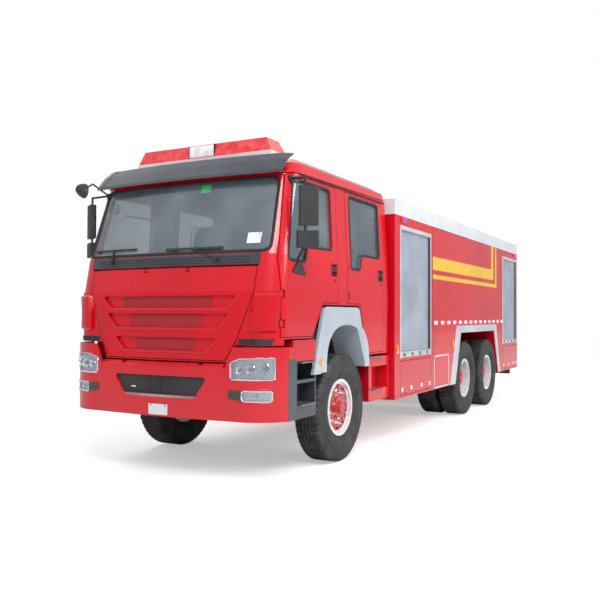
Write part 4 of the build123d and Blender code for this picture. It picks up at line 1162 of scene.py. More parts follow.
@dataclass
class Wheels:
    """The tyres, and the nuts and caps on the rims."""

    front_x: float = 1.011
    rear_x: float = 1.090
    twin_spacing: float = 0.348
    nut_count: int = 10
    nut_ring: float = 0.1675
    nut_radius: float = 0.017
    nut_length: float = 0.045
    dish_depth: float = 0.135
    hub_x: float = 1.135

    def build(self, palette: Palette) -> None:
        """Makes every wheel's tyres and fittings.

        Args:
            palette: the finishes.
        """
        tyre = Tyre()
        for side in Side:
            sign = side.value
            y = back(Frame.WHEEL_Y["front"])
            body = f"wheel_front_{side.label}"
            tyre.build(f"tyre_front_{side.label}", body, f"front_tyre_{side.label}",
                       [(sign * self.front_x, y, Frame.AXLE_Z)], palette)
            self.front_fittings(side, body, y, palette)
            for axle in ("rear_1", "rear_2"):
                y = back(Frame.WHEEL_Y[axle])
                body = f"wheels_{axle}_{side.label}"
                centres = [(sign * x, y, Frame.AXLE_Z)
                           for x in (self.rear_x, self.rear_x - self.twin_spacing)]
                tyre.build(f"tyres_{axle}_{side.label}", body,
                           f"rear_tyres_{axle[-1]}_{side.label}", centres, palette)
                self.rear_fittings(side, body, axle, y, palette)

    def nuts(self, piece: Piece, sign: int, y: float, base: float, length: float) -> None:
        """Adds the ring of wheel nuts, each a washer, a hexagon and a stud, standing out from base.

        Args:
            piece: the piece that takes them.
            sign: the side's sign.
            y: the axle's place.
            base: how far out from the truck's middle they start.
            length: how far they stand out.
        """
        for k in range(self.nut_count):
            turn = 2 * math.pi * (k + 0.5) / self.nut_count
            spot = (0.0, y + self.nut_ring * math.cos(turn), Frame.AXLE_Z + self.nut_ring * math.sin(turn))
            nut, washer, stud = self.nut_radius, self.nut_radius * 1.25, self.nut_radius * 0.6
            profile = ((0, washer), (0.006, washer), (0.007, nut), (length * 0.7, nut),
                       (length * 0.8, stud), (length, stud), (length, 0))
            piece.lathe([(sign * (base + d), r) for d, r in profile], spot, steps=6)

    def front_fittings(self, side: Side, body: str, y: float, palette: Palette) -> None:
        """The front wheel's nuts and its stepped hub cap.

        Args:
            side: the side of the truck.
            body: the body that turns.
            y: the axle's place.
            palette: the finishes.
        """
        sign, x = side.value, self.front_x
        nuts = Piece(f"front_nuts_{side.label}", body, palette.chrome, "rim_paint")
        self.nuts(nuts, sign, y, x + 0.079, self.nut_length)
        nuts.done()
        cap = Piece(f"front_hub_cap_{side.label}", body, palette.white, "rim_paint")
        profile = [(0.080, 0.100), (0.094, 0.098), (0.098, 0.090), (0.104, 0.062), (0.128, 0.055),
                   (0.136, 0.050), (0.138, 0.046), (0.138, 0)]
        cap.lathe([(sign * (x + d), r) for d, r in profile], (0, y, Frame.AXLE_Z), steps=40).done(30)

    def rear_fittings(self, side: Side, body: str, axle: str, y: float, palette: Palette) -> None:
        """A rear wheel's nuts, deep in the dish, and the hub's flange and cap.

        Args:
            side: the side of the truck.
            body: the body that turns.
            axle: the rear axle, as the bodies' names spell it.
            y: the axle's place.
            palette: the finishes.
        """
        sign = side.value
        base = self.rear_x - self.dish_depth
        nuts = Piece(f"{axle}_nuts_{side.label}", body, palette.chrome, "rim_paint")
        self.nuts(nuts, sign, y, base - 0.013, self.nut_length)
        nuts.done()
        hub = Piece(f"{axle}_hub_{side.label}", body, palette.red, "rim_paint")
        end = self.hub_x - base
        profile = [(end - 0.004, 0.118), (end + 0.010, 0.117), (end + 0.012, 0.112), (end + 0.013, 0.075),
                   (end + 0.028, 0.070), (end + 0.031, 0.062), (end + 0.031, 0)]
        hub.lathe([(sign * (base + d), r) for d, r in profile], (0, y, Frame.AXLE_Z), steps=36).done(30)


@dataclass
class DoorTrim:
    """Window seals, divider bars, handles and a painted shade line in the drip rail's channel on the cab's
    sides.
    """

    front_window: tuple[Point2, ...] = ((0.372, 2.035), (0.700, 2.035), (0.745, 2.180), (1.265, 2.190),
                                        (1.265, 2.790), (0.560, 2.790))
    rear_window: tuple[Point2, ...] = ((1.730, 2.025), (1.960, 2.025), (2.010, 2.190), (2.510, 2.190),
                                       (2.510, 2.795), (1.730, 2.795))
    corner: float = 0.035
    seal_radius: float = 0.013
    bar_radius: float = 0.009
    front_bar: tuple[Point2, ...] = ((0.80, 2.62), (1.03, 2.62), (1.26, 2.62))
    rear_bar: tuple[Point2, ...] = ((2.02, 2.19), (2.02, 2.36), (2.02, 2.52), (2.02, 2.60), (2.06, 2.63),
                                    (2.28, 2.63), (2.51, 2.63))
    # The door skin's heights just below and above the glass, and how far in from it the glass lies
    glass_between: Point2 = (2.0, 2.84)
    glass_depth: float = 0.026
    handle_ys: Point2 = (1.31, 2.53)
    handle_z: float = 1.98
    cup_half: float = 0.064
    drip_ys: Point2 = (0.46, 2.70)
    drip_z: float = 2.850
    drip_steps: int = 11

    def build(self, palette: Palette) -> None:
        """Makes both sides' trim.

        Args:
            palette: the finishes.
        """
        for side in Side:
            skin = Skin(f"front_door_{side.label}", f"rear_door_{side.label}", "cab_shell")
            for door, window, bar, handle_y in (
                    ("front", self.front_window, self.front_bar, self.handle_ys[0]),
                    ("rear", self.rear_window, self.rear_bar, self.handle_ys[1])):
                body = f"door_{door}_{side.label}"
                outline = [(back(y), z) for y, z in self.grown(window)]
                loop = skin.trace(rounded(outline, self.corner + 0.01), Run.X, side.value * BESIDE)
                seal = Piece(f"{door}_window_seal_{side.label}", body, palette.seal, "black_plastic")
                seal.tube(loop, self.seal_radius, 8, closed=True, flat=0.5, flat_axis=ACROSS)
                line = [self.on_glass(skin, side, y, z) for y, z in bar]
                seal.tube(line, self.bar_radius, 8, flat=0.6, flat_axis=ACROSS).done(60)
                self.handle(skin, side, door, handle_y, palette)
            self.drip_rail(skin, side, palette)

    @staticmethod
    def grown(window: Sequence[Point2], by: float = 0.006) -> list[Point2]:
        """The window's outline, moved a little out from its middle so the seal lies on the door.

        Args:
            window: the window's outline.
            by: how far it moves.

        Returns:
            The moved outline.
        """
        mid_y = sum(y for y, _ in window) / len(window)
        mid_z = sum(z for _, z in window) / len(window)
        return [(y + math.copysign(by, y - mid_y), z + math.copysign(by, z - mid_z)) for y, z in window]

    def on_glass(self, skin: Skin, side: Side, y: float, z: float) -> Vector:
        """A point at the window's plane, taken from the door's skin just below and above it.

        Args:
            skin: the doors and the cab's shell.
            side: the side of the truck.
            y: how far back it is.
            z: its height.

        Returns:
            The point.
        """
        bottom, top = self.glass_between
        low, high = (skin.from_side(side.value, back(y), level).x for level in (bottom, top))
        share = (z - bottom) / (top - bottom)
        return Vector((low + (high - low) * share - side.value * self.glass_depth, back(y), z))

    def handle(self, skin: Skin, side: Side, door: str, y: float, palette: Palette) -> None:
        """The black insert of the door's handle dish, its grip and its lock barrel.

        Args:
            skin: the doors and the cab's shell.
            side: the side of the truck.
            door: front or rear.
            y: how far back it is.
            palette: the finishes.
        """
        sign = side.value
        z = self.handle_z
        half = self.cup_half
        x = skin.from_side(sign, back(y), z + 0.085).x
        cup = Piece(f"{door}_door_handle_{side.label}", f"door_{door}_{side.label}", palette.black,
                    "black_plastic")
        rim = rounded([(-half, -half), (half, -half), (half, half), (-half, half)], 0.012)
        cup.tube([Vector((x + sign * 0.001, back(y) + a, z + b)) for a, b in rim],
                 0.006, 8, closed=True, flat=0.6, flat_axis=ACROSS)
        cup.block(sorted((x - sign * 0.021, x - sign * 0.016)), (back(y - 0.058), back(y + 0.058)),
                  (z - 0.058, z - 0.010), 0.001)
        cup.block(sorted((x + sign * 0.0005, x + sign * 0.008)), (back(y - 0.056), back(y + 0.056)),
                  (z - 0.006, z + 0.036), 0.003)
        cup.lathe([(x, 0.016), (x + sign * 0.008, 0.016), (x + sign * 0.008, 0.010), (x + sign * 0.004, 0)],
                  (0, back(y + 0.02), z - 0.10), steps=20)
        cup.done()

    def drip_rail(self, skin: Skin, side: Side, palette: Palette) -> None:
        """A black tube of painted shade along the rain channel over the doors.

        Args:
            skin: the doors and the cab's shell.
            side: the side of the truck.
            palette: the finishes.
        """
        sign = side.value
        first, last = self.drip_ys
        path = []
        for k in range(self.drip_steps + 1):
            share = k / self.drip_steps
            y, z = back(first + (last - first) * share), self.drip_z + 0.004 * share
            met = skin.from_side(sign, y, z)
            path.append(Vector((met.x + sign * 0.006, y, z)))
        # Painted shade: a black tube laid where the rain channel's shadow falls.
        shade = Piece(f"drip_seal_{side.label}", "cab", palette.seal, "black_plastic")
        shade.tube(path, 0.007, 6).done(60)


@dataclass
class FrontTrim:
    """What the cab's front carries: windscreen gasket, cowl, grille meshes and lips, and stickers."""

    windscreen: tuple[Point2, ...] = ((-1.075, 2.110), (1.075, 2.110), (1.035, 2.800), (-1.035, 2.800))
    windscreen_corner: float = 0.075
    # Each slot's low and high Z, half widths at low and high, and the mesh's half width
    grille_rows: tuple[tuple[float, float, float, float, float], ...] = (
        (1.190, 1.316, 0.480, 0.610, 0.35),
        (1.405, 1.540, 0.600, 0.735, 0.43),
        (1.590, 1.705, 0.685, 0.805, 0.53))
    cowl_half: float = 1.0
    cowl_z: Point2 = (1.985, 2.085)
    louvre_half: float = 0.9
    louvre_zs: tuple[float, ...] = (2.005, 2.03, 2.055)
    tag: tuple[Point2, Point2] = ((0.22, 0.33), (2.70, 2.78))
    sticker: tuple[Point2, Point2] = ((0.83, 0.97), (2.18, 2.28))

    def build(self, palette: Palette) -> None:
        """Makes the pieces.

        Args:
            palette: the finishes.
        """
        skin = Skin("cab_shell", "windscreen", "front_panel", "front_door_left", "front_door_right")
        gasket = Piece("windscreen_gasket", "cab", palette.seal, "black_plastic")
        grown = [(x * 1.006, z + math.copysign(0.006, z - 2.4)) for x, z in self.windscreen]
        loop = skin.trace(rounded(grown, self.windscreen_corner), Run.Y, AHEAD)
        gasket.tube(loop, 0.017, 8, closed=True, flat=0.5, flat_axis=REARWARD).done(60)
        self.cowl(skin, palette)
        self.grilles(skin, palette)
        self.stickers(skin, palette)

    @staticmethod
    def lay(piece: Piece, skin: Skin, outline: Sequence[Point2], lift: float, thick: float,
            steps: int) -> None:
        """Adds a thin panel of any outline, convex upward, that follows the cab's front.

        Args:
            piece: the piece that takes it.
            skin: the cab's front.
            outline: its corners as (x, z).
            lift: how far its face stands off the skin, negative for sunk in.
            thick: its thickness.
            steps: columns across.
        """
        low, high = min(x for x, _ in outline), max(x for x, _ in outline)
        even = {low + (high - low) * k / steps for k in range(steps + 1)}
        rings = []
        for across in sorted(even | {x for x, _ in outline}):
            bottom, top = FrontTrim.heights(outline, across)
            met = [skin.from_front(across, z) for z in (bottom, top)]
            if not all(met):
                continue
            (low_front, low_rear), (high_front, high_rear) = (
                [piece.mesh.verts.new((across, spot.y - lift + depth, z)) for depth in (0.0, thick)]
                for spot, z in zip(met, (bottom, top)))
            rings.append([low_front, high_front, high_rear, low_rear])
        piece.loft(rings)

    @staticmethod
    def heights(outline: Sequence[Point2], across: float) -> Point2:
        """The low and the high edge of an outline, at a place across it.

        Args:
            outline: its corners as (x, z).
            across: the x.

        Returns:
            The two heights, at least a millimetre apart.
        """
        found = []
        for (x0, z0), (x1, z1) in zip(outline, [*outline[1:], outline[0]]):
            if not min(x0, x1) - 1e-9 <= across <= max(x0, x1) + 1e-9:
                continue
            if abs(x1 - x0) > 1e-9:
                found.append(z0 + (z1 - z0) * (across - x0) / (x1 - x0))
            else:
                found += [z0, z1]
        return min(found), max(*found, min(found) + 0.001)

    def patch(self, piece: Piece, skin: Skin, x: Point2, z: Point2, lift: float, thick: float,
              steps: int) -> None:
        """Adds a thin upright rectangle that follows the cab's front.

        Args:
            piece: the piece that takes it.
            skin: the cab's front.
            x: its low and high X.
            z: its low and high Z.
            lift: how far its face stands off the skin, negative for sunk in.
            thick: its thickness.
            steps: columns across.
        """
        self.lay(piece, skin, ((x[0], z[0]), (x[1], z[0]), (x[1], z[1]), (x[0], z[1])), lift, thick, steps)

    def cowl(self, skin: Skin, palette: Palette) -> None:
        """The dark cowl panel under the windscreen, with its louvre lines.

        Args:
            skin: the cab's front.
            palette: the finishes.
        """
        cowl = Piece("cowl", "cab", palette.cowl, "black_plastic")
        self.patch(cowl, skin, (-self.cowl_half, self.cowl_half), self.cowl_z, 0.006, 0.008, 24)
        cowl.done()
        lines = Piece("cowl_louvres", "cab", palette.seal, "black_plastic")
        for z in self.louvre_zs:
            self.patch(lines, skin, (-self.louvre_half, self.louvre_half), (z - 0.003, z + 0.003),
                       0.009, 0.006, 24)
        lines.done()

    def grilles(self, skin: Skin, palette: Palette) -> None:
        """Red mesh in each slot of the front panel, with a raised lip under the slot.

        Args:
            skin: the cab's front.
            palette: the finishes.
        """
        mesh = Piece("grille_meshes", "cab_front_panel", palette.red_net, "red_paint")
        lips = Piece("grille_lips", "cab_front_panel", palette.red, "red_paint")
        for low, high, half_low, half_high, net in self.grille_rows:
            self.patch(mesh, skin, (-net, net), (low + 0.012, high - 0.012), 0.003, 0.004, 16)
            ends = ((half_low, low - 0.013), (half_low + 0.03, low + 0.01), (half_high + 0.012, high - 0.01))
            level = [(half_low * k / 6, low - 0.013) for k in range(-5, 6)]
            line = []
            for x, z in (*((-x, z) for x, z in reversed(ends)), *level, *ends):
                outer = skin.from_front(x * 1.02, low - 0.03)
                line.append(Vector((x, outer.y + 0.002, z)))
            lips.tube(line, 0.011, 8, flat=0.7, flat_axis=REARWARD)
        mesh.done()
        lips.done(60)

    def stickers(self, skin: Skin, palette: Palette) -> None:
        """The blank stickers inside the windscreen.

        Args:
            skin: the cab's front.
            palette: the finishes.
        """
        green = Paint("green_tag", (0.08, 0.45, 0.2), 0.4, 0.3).material()
        for name, material, (x, z) in (("windscreen_tag", green, self.tag),
                                       ("windscreen_sticker", palette.reflective, self.sticker)):
            sticker = Piece(name, "cab", material, "black_plastic")
            self.patch(sticker, skin, x, z, 0.001, 0.002, 3)
            sticker.done()


@dataclass
class BumperTrim:
    """What the bumper carries: lamps in their bezels, fog lamp slots, plate, tread strip and creases.

    The louvre strips and the deflectors at the cab's front corners, above the bumper, belong here too.
    """

    headlamp: tuple[Point2, ...] = ((0.790, 0.955), (1.165, 0.955), (1.165, 1.150), (0.880, 1.140),
                                    (0.790, 1.105))
    fog_lamp: tuple[Point2, ...] = ((0.905, 0.765), (1.150, 0.765), (1.150, 0.855), (0.905, 0.855))
    fog_slots: tuple[Point2, Point2] = ((0.770, 0.902), (0.765, 0.855))
    plate: tuple[Point2, Point2] = ((-0.105, 0.118), (0.595, 0.694))
    reflectors: tuple[tuple[float, float, float], ...] = ((0.872, 1.035, 0.042), (0.975, 1.045, 0.050),
                                                          (1.082, 1.055, 0.056))
    fog_reflector: tuple[float, float, float] = (1.02, 0.81, 0.034)
    tread_strip: tuple[Point2, ...] = ((-0.37, 0.762), (0.40, 0.762), (0.425, 0.782), (-0.425, 0.782))
    # The tow eye's bar, as (x, distance back, z)
    tow_eye: tuple[Point, ...] = ((-0.33, 0.06, 0.842), (-0.33, 0.022, 0.842), (-0.318, 0.010, 0.846),
                                  (-0.29, 0.010, 0.846), (-0.275, 0.018, 0.842))
    frame_crease: tuple[Point2, ...] = ((-0.60, 1.02), (-0.63, 0.985), (-0.50, 0.74), (-0.44, 0.725),
                                        (0.44, 0.725), (0.50, 0.74), (0.63, 0.985), (0.60, 1.02))
    upper_crease: tuple[Point2, ...] = ((-0.70, 1.000), (0.70, 1.000))
    lower_groove: tuple[Point2, ...] = ((-1.18, 0.652), (-0.9, 0.640), (0.9, 0.640), (1.18, 0.652))
    louvre: tuple[Point2, ...] = ((0.83, 1.262), (1.13, 1.262), (1.15, 1.312), (0.80, 1.312))
    rib_count: int = 15
    rib_from: float = 0.845
    rib_pitch: float = 0.02
    rib_width: float = 0.007
    rib_z: Point2 = (1.268, 1.306)
    deflector_axis: Point2 = (0.93, 0.55)
    deflector_turns: Point2 = (2.0, 66.0)
    deflector_steps: int = 12
    # How far the deflector stands off the cab at each height
    deflector_lifts: tuple[Point2, ...] = ((1.372, 0.010), (1.388, 0.026), (1.55, 0.026), (1.704, 0.026),
                                           (1.720, 0.010))
    deflector_thickness: float = 0.024

    def build(self, palette: Palette) -> None:
        """Makes the pieces.

        Args:
            palette: the finishes.
        """
        skin = Skin("bumper", "front_lamps")
        self.lamps(skin, palette)
        self.fog_surrounds(skin, palette)
        self.middle(skin, palette)
        self.louvres(palette)
        self.deflectors(palette)

    @staticmethod
    def mirrored(outline: Sequence[Point2], sign: int) -> list[Point2]:
        """The outline on one side of the truck."""
        return [(sign * x, z) for x, z in outline]

    def lamps(self, skin: Skin, palette: Palette) -> None:
        """Sunk bowls with round reflectors under clear covers, in bright bezels.

        Args:
            skin: the bumper and its lamps.
            palette: the finishes.
        """
        bowls = Piece("lamp_bowls", "chassis", palette.bowl, "bright_trim")
        rings = Piece("lamp_reflectors", "chassis", palette.chrome, "bright_trim")
        bezels = Piece("lamp_bezels", "chassis", palette.chrome, "bright_trim")
        covers = Piece("lamp_covers", "chassis", palette.cover, "lamp_lens")
        cores = Piece("lamp_cores", "chassis", palette.smoke, "smoked_plastic")
        for side in Side:
            sign = side.value
            for outline in (self.headlamp, self.fog_lamp):
                shape = self.mirrored(outline, sign)
                FrontTrim.lay(bowls, skin, shape, -0.030, 0.008, 10)
                FrontTrim.lay(covers, skin, shape, -0.002, 0.003, 10)
                loop = skin.trace(rounded(shape, 0.018), Run.Y, AHEAD)
                bezels.tube(loop, 0.009, 8, closed=True, flat=0.6, flat_axis=REARWARD)
            for x, z, radius in (*self.reflectors, self.fog_reflector):
                centre = (sign * x, skin.from_front(sign * x, z).y, z)
                rings.lathe([(0.012, radius), (0.009, radius * 0.94), (0.016, radius * 0.86),
                             (0.026, radius * 0.45), (0.028, 0.0)], centre, Run.Y, 24)
                cores.lathe([(0.026, radius * 0.34), (0.014, radius * 0.3), (0.011, 0.0)], centre, Run.Y, 14)
        for piece in (bowls, rings, bezels, cores):
            piece.done(40)
        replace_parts(covers.done(40), "front_lamps")

    def fog_surrounds(self, skin: Skin, palette: Palette) -> None:
        """The dark slots beside each fog lamp, with two fins across, and the lip round both.

        Args:
            skin: the bumper and its lamps.
            palette: the finishes.
        """
        dark = Piece("fog_slots", "chassis", palette.gloss_black, "black_plastic")
        fins = Piece("fog_fins", "chassis", palette.cowl, "black_plastic")
        lips = Piece("fog_lips", "chassis", palette.red, "red_paint")
        (low_x, high_x), (low_z, high_z) = self.fog_slots
        for side in Side:
            sign = side.value
            slot = ((low_x, low_z + 0.02), (high_x, low_z), (high_x, high_z), (low_x, high_z))
            FrontTrim.lay(dark, skin, self.mirrored(slot, sign), 0.003, 0.006, 4)
            for z in (low_z + 0.03, low_z + 0.06):
                fin = ((low_x, z), (high_x, z), (high_x, z + 0.008), (low_x, z + 0.008))
                FrontTrim.lay(fins, skin, self.mirrored(fin, sign), 0.010, 0.012, 4)
            around = ((low_x - 0.02, low_z - 0.014), (1.165, low_z - 0.018), (1.165, high_z + 0.014),
                      (low_x - 0.02, high_z + 0.014))
            loop = skin.trace(rounded(self.mirrored(around, sign), 0.03), Run.Y, AHEAD)
            lips.tube(loop, 0.008, 8, closed=True, flat=0.6, flat_axis=REARWARD)
        for piece in (dark, fins, lips):
            piece.done(50)

    def middle(self, skin: Skin, palette: Palette) -> None:
        """The blank plate, the tread strip under the intake, the tow eye and the pressed creases.

        Args:
            skin: the bumper and its lamps.
            palette: the finishes.
        """
        (left, right), (bottom, top) = self.plate
        plate = Piece("number_plate", "chassis", palette.white, "white_paint")
        corners = ((left, bottom), (right, bottom), (right, top), (left, top))
        FrontTrim.lay(plate, skin, corners, 0.001, 0.004, 2)
        plate.done()
        bolts = Piece("plate_bolts", "chassis", palette.black, "black_plastic")
        for x in (left + 0.03, right - 0.03):
            bolts.lathe([(-0.0022, 0.0), (-0.0022, 0.007), (-0.0012, 0.008), (0.004, 0.008)],
                        (x, back(0.0), top - 0.012), Run.Y, 10)
        bolts.done()
        strip = Piece("intake_tread", "chassis", palette.tread, "bright_trim")
        FrontTrim.lay(strip, skin, self.tread_strip, 0.002, 0.006, 14)
        strip.done()
        eye = Piece("tow_eye", "chassis", palette.trim, "bright_trim")
        eye.tube([(x, back(y), z) for x, y, z in self.tow_eye], 0.007, 8).done()
        crease = Piece("bumper_creases", "chassis", palette.red, "red_paint")
        groove = Piece("bumper_groove", "chassis", palette.seal, "black_plastic")
        for path in (self.frame_crease, self.upper_crease):
            crease.tube(self.on_face(skin, path), 0.010, 8, flat=0.5, flat_axis=REARWARD)
        groove.tube(self.on_face(skin, self.lower_groove), 0.004, 6, flat=0.6, flat_axis=REARWARD)
        crease.done(60)
        groove.done(60)

    @staticmethod
    def on_face(skin: Skin, path: Sequence[Point2], step: float = 0.06) -> list[Vector]:
        """An open (x, z) path laid on the bumper's face.

        Args:
            skin: the bumper and its lamps.
            path: the path's corners as (x, z).
            step: the spacing of the points.

        Returns:
            The points on the face.
        """
        points = []
        for one, two in zip(path, path[1:]):
            count = max(1, round(math.dist(one, two) / step))
            points += [(one[0] + (two[0] - one[0]) * k / count, one[1] + (two[1] - one[1]) * k / count)
                       for k in range(count)]
        points.append(path[-1])
        spots = [(skin.from_front(x, z), x, z) for x, z in points]
        return [Vector((x, met.y + 0.003, z)) for met, x, z in spots if met]

    def louvres(self, palette: Palette) -> None:
        """The black louvre strips between the bumper's pods and the cab's corners.

        Args:
            palette: the finishes.
        """
        skin = Skin("cab_shell")
        dark = Piece("corner_louvres", "cab", palette.gloss_black, "black_plastic")
        ribs = Piece("corner_louvre_ribs", "cab", palette.cowl, "black_plastic")
        for side in Side:
            sign = side.value
            FrontTrim.lay(dark, skin, self.mirrored(self.louvre, sign), 0.004, 0.006, 6)
            low, high = self.rib_z
            for k in range(self.rib_count):
                x = self.rib_from + self.rib_pitch * k
                end = x + self.rib_width
                rib = ((x, low), (end, low), (end, high), (x, high))
                FrontTrim.lay(ribs, skin, self.mirrored(rib, sign), 0.010, 0.008, 1)
        dark.done()
        ribs.done()

    def deflectors(self, palette: Palette) -> None:
        """The air deflectors that stand proud of the cab's front corners.

        Args:
            palette: the finishes.
        """
        skin = Skin("cab_shell")
        panels = Piece("corner_deflectors", "cab", palette.red, "red_paint")
        for side in Side:
            sign = side.value
            axis = Vector((sign * self.deflector_axis[0], back(self.deflector_axis[1]), 0))
            first, last = self.deflector_turns
            rings = []
            for k in range(self.deflector_steps + 1):
                turn = math.radians(first + (last - first) * k / self.deflector_steps)
                way = Vector((sign * math.sin(turn), -math.cos(turn), 0))
                met = [skin.meet(axis + way * 2.0 + Vector((0, 0, z)), -way) for z, _ in self.deflector_lifts]
                if not all(met):
                    continue
                outer = [spot + way * lift for spot, (_, lift) in zip(met, self.deflector_lifts)]
                ring = outer + [spot - way * self.deflector_thickness for spot in reversed(outer)]
                rings.append([panels.mesh.verts.new(spot) for spot in ring])
            panels.loft(rings)
        panels.done(30)


@dataclass(frozen=True)
class Pad:
    """One cushion's place and size; its channels are shares of its half width."""

    y: float
    z: float
    half: Point
    channels: Point2
    upright: bool = False


@dataclass
class Seats:
    """The crew's seats: padded cushions with sewn channels and piping, on plain plinths."""

    seat_x: float = 0.535
    front: tuple[tuple[str, Pad], ...] = (
        ("cushion", Pad(1.265, 1.862, (0.258, 0.245, 0.060), (-0.45, 0.45))),
        ("back", Pad(1.592, 2.225, (0.252, 0.330, 0.050), (-0.5, 0.5), upright=True)))
    bench: tuple[tuple[str, Pad], ...] = (
        ("cushion", Pad(2.34, 1.862, (1.035, 0.218, 0.060), (-0.36, 0.36))),
        ("back", Pad(2.612, 2.225, (1.035, 0.320, 0.040), (-0.36, 0.36), upright=True)))
    # The plinths' spans across, and from front to rear as distances back
    plinths: tuple[tuple[Point2, Point2], ...] = (
        ((0.30, 0.77), (1.09, 1.47)), ((-0.77, -0.30), (1.09, 1.47)), ((-0.47, 0.47), (2.21, 2.49)))
    plinth_top: float = 1.80
    lean: float = 10.5
    squareness: float = 7.0
    pull: float = 0.022
    crown: float = 0.014
    channel_depth: float = 0.009
    channel_width: float = 0.05
    cross_channel: float = 0.45
    cross_width: float = 0.06
    piping_at: float = 0.985
    piping_radius: float = 0.005

    def build(self, palette: Palette) -> None:
        """Makes the front seats, the crew's bench and what they stand on.

        Args:
            palette: the finishes.
        """
        for side in Side:
            for part, pad in self.front:
                self.pad(f"seat_{part}_{side.label}", side.value * self.seat_x, pad, palette)
        for part, pad in self.bench:
            self.pad(f"bench_{part}", 0.0, pad, palette)
        plinth = Piece("seat_plinths", "cab", palette.interior, "black_plastic")
        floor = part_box("seats")[0][2] + 0.001
        for x, (front, rear) in self.plinths:
            plinth.block(x, (back(front), back(rear)), (floor, self.plinth_top), 0.012)
        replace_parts(plinth.done(), "seats")

    def pad(self, name: str, x: float, pad: Pad, palette: Palette) -> None:
        """One cushion: a crowned rounded block, pulled in between its corners.

        Args:
            name: the piece's name.
            x: its middle's X.
            pad: its place and size.
            palette: the finishes.
        """
        piece = Piece(name, "cab", palette.cloth, "seat_cloth")
        bmesh.ops.create_cube(piece.mesh, size=2.0)
        bmesh.ops.subdivide_edges(piece.mesh, edges=piece.mesh.edges[:], cuts=21, use_grid_fill=True)
        middle = Vector((x, back(pad.y), pad.z))
        tip = Matrix.Rotation(math.radians(90 - self.lean) if pad.upright else 0.0, 3, "X")
        for vert in piece.mesh.verts:
            vert.co = middle + tip @ self.shaped(vert.co, pad.half, pad.channels)
        at = self.piping_at
        loop = rounded([(-at, -at), (at, -at), (at, at), (-at, at)], 0.08)
        wide, long, thick = pad.half
        for lift in (0.55, -0.55):
            path = [middle + tip @ Vector((u * wide, v * long, lift * thick)) for u, v in loop]
            piece.tube(path, self.piping_radius, 6, closed=True)
        made = piece.done(60)
        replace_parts(made, "seats")

    def shaped(self, spot: Vector, half: Point, channels: Point2) -> Vector:
        """Where a point of the unit cube goes on the cushion.

        Args:
            spot: the point.
            half: the cushion's half sizes.
            channels: where the sewn channels run, as shares of the half width.

        Returns:
            The place from the cushion's middle.
        """
        u, v, w = spot
        power = self.squareness
        norm = (abs(u) ** power + abs(v) ** power + abs(w) ** power) ** (1 / power)
        sides = 1 - self.pull * (1 - v * v)
        ends = 1 - self.pull * (1 - u * u)
        height = w / norm * half[2]
        if w > 0:
            fall = max(0.0, 1 - abs(v) ** 8)
            sewn = sum(math.exp(-((u - place) / self.channel_width) ** 2) for place in channels) * fall
            sewn += math.exp(-((v - self.cross_channel) / self.cross_width) ** 2) * max(0.0, 1 - abs(u) ** 8)
            height += self.crown * (1 - u * u) * (1 - v * v) - self.crown * 0.6
            height -= self.channel_depth * sewn
        return Vector((u / norm * half[0] * sides, v / norm * half[1] * ends, height))


@dataclass
class StepTrim:
    """Bright treads on the steps, and the front wheel arch's rounded flare."""

    # Each tread's span across, its span as distances back, and its height: two at the front, two aft
    treads: tuple[tuple[Point2, Point2, float], ...] = (
        ((1.06, 1.238), (0.55, 0.83), 1.088), ((1.06, 1.238), (0.55, 0.83), 0.696),
        ((1.10, 1.238), (2.22, 2.54), 1.060), ((1.10, 1.238), (2.22, 2.54), 0.690))
    arch_half: float = 0.472
    arch_foot: float = 0.965
    arch_rise: float = 0.462
    # Under 1, these square the arch's shoulders
    arch_across_power: float = 0.82
    arch_up_power: float = 0.72
    arch_steps: int = 40
    band_side: float = 0.115
    band_top: float = 0.06
    marker_y: float = 1.00
    marker_z: float = 1.075

    def build(self, palette: Palette) -> None:
        """Makes both sides' treads, flares and amber markers.

        Args:
            palette: the finishes.
        """
        treads = Piece("step_treads", "chassis", palette.tread, "bright_trim")
        for x, (front, rear), z in self.treads:
            treads.block(x, (back(front), back(rear)), (z - 0.006, z + 0.004), 0.002)
        treads.both_sides().done()
        flares = Piece("arch_flares", "chassis", palette.fender_grey, "grey_paint")
        for side in Side:
            self.flare(flares, side.value)
        flares.done(30)
        amber = Piece("fender_markers", "chassis", palette.amber_lens, "lamp_lens")
        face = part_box("front_fenders")[1][0]
        amber.lathe([(face, 0.034), (face + 0.012, 0.030), (face + 0.016, 0.018), (face + 0.016, 0.0)],
                    (0, back(self.marker_y), self.marker_z), Run.X, 20)
        amber.both_sides().done()

    def flare(self, piece: Piece, sign: int) -> None:
        """Adds one side's flare: a flat band whose inner edge is a smooth arch.

        Args:
            piece: the piece that takes it.
            sign: the side's sign.
        """
        rings = []
        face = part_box("front_fenders")[1][0]
        for k in range(self.arch_steps + 1):
            turn = math.pi * k / self.arch_steps
            across, up = -math.cos(turn), math.sin(turn)
            reach = math.copysign(abs(across) ** self.arch_across_power, across)
            y = Frame.WHEEL_Y["front"] + self.arch_half * reach
            z = self.arch_foot + self.arch_rise * up ** self.arch_up_power
            outer_y, outer_z = y + self.band_side * across, z + self.band_top * up
            hidden, shown = sign * (face - 0.012), sign * (face + 0.003)
            rings.append([piece.mesh.verts.new(corner) for corner in (
                (hidden, back(y), z), (shown, back(y), z),
                (shown, back(outer_y), outer_z), (hidden, back(outer_y), outer_z))])
        piece.loft(rings)


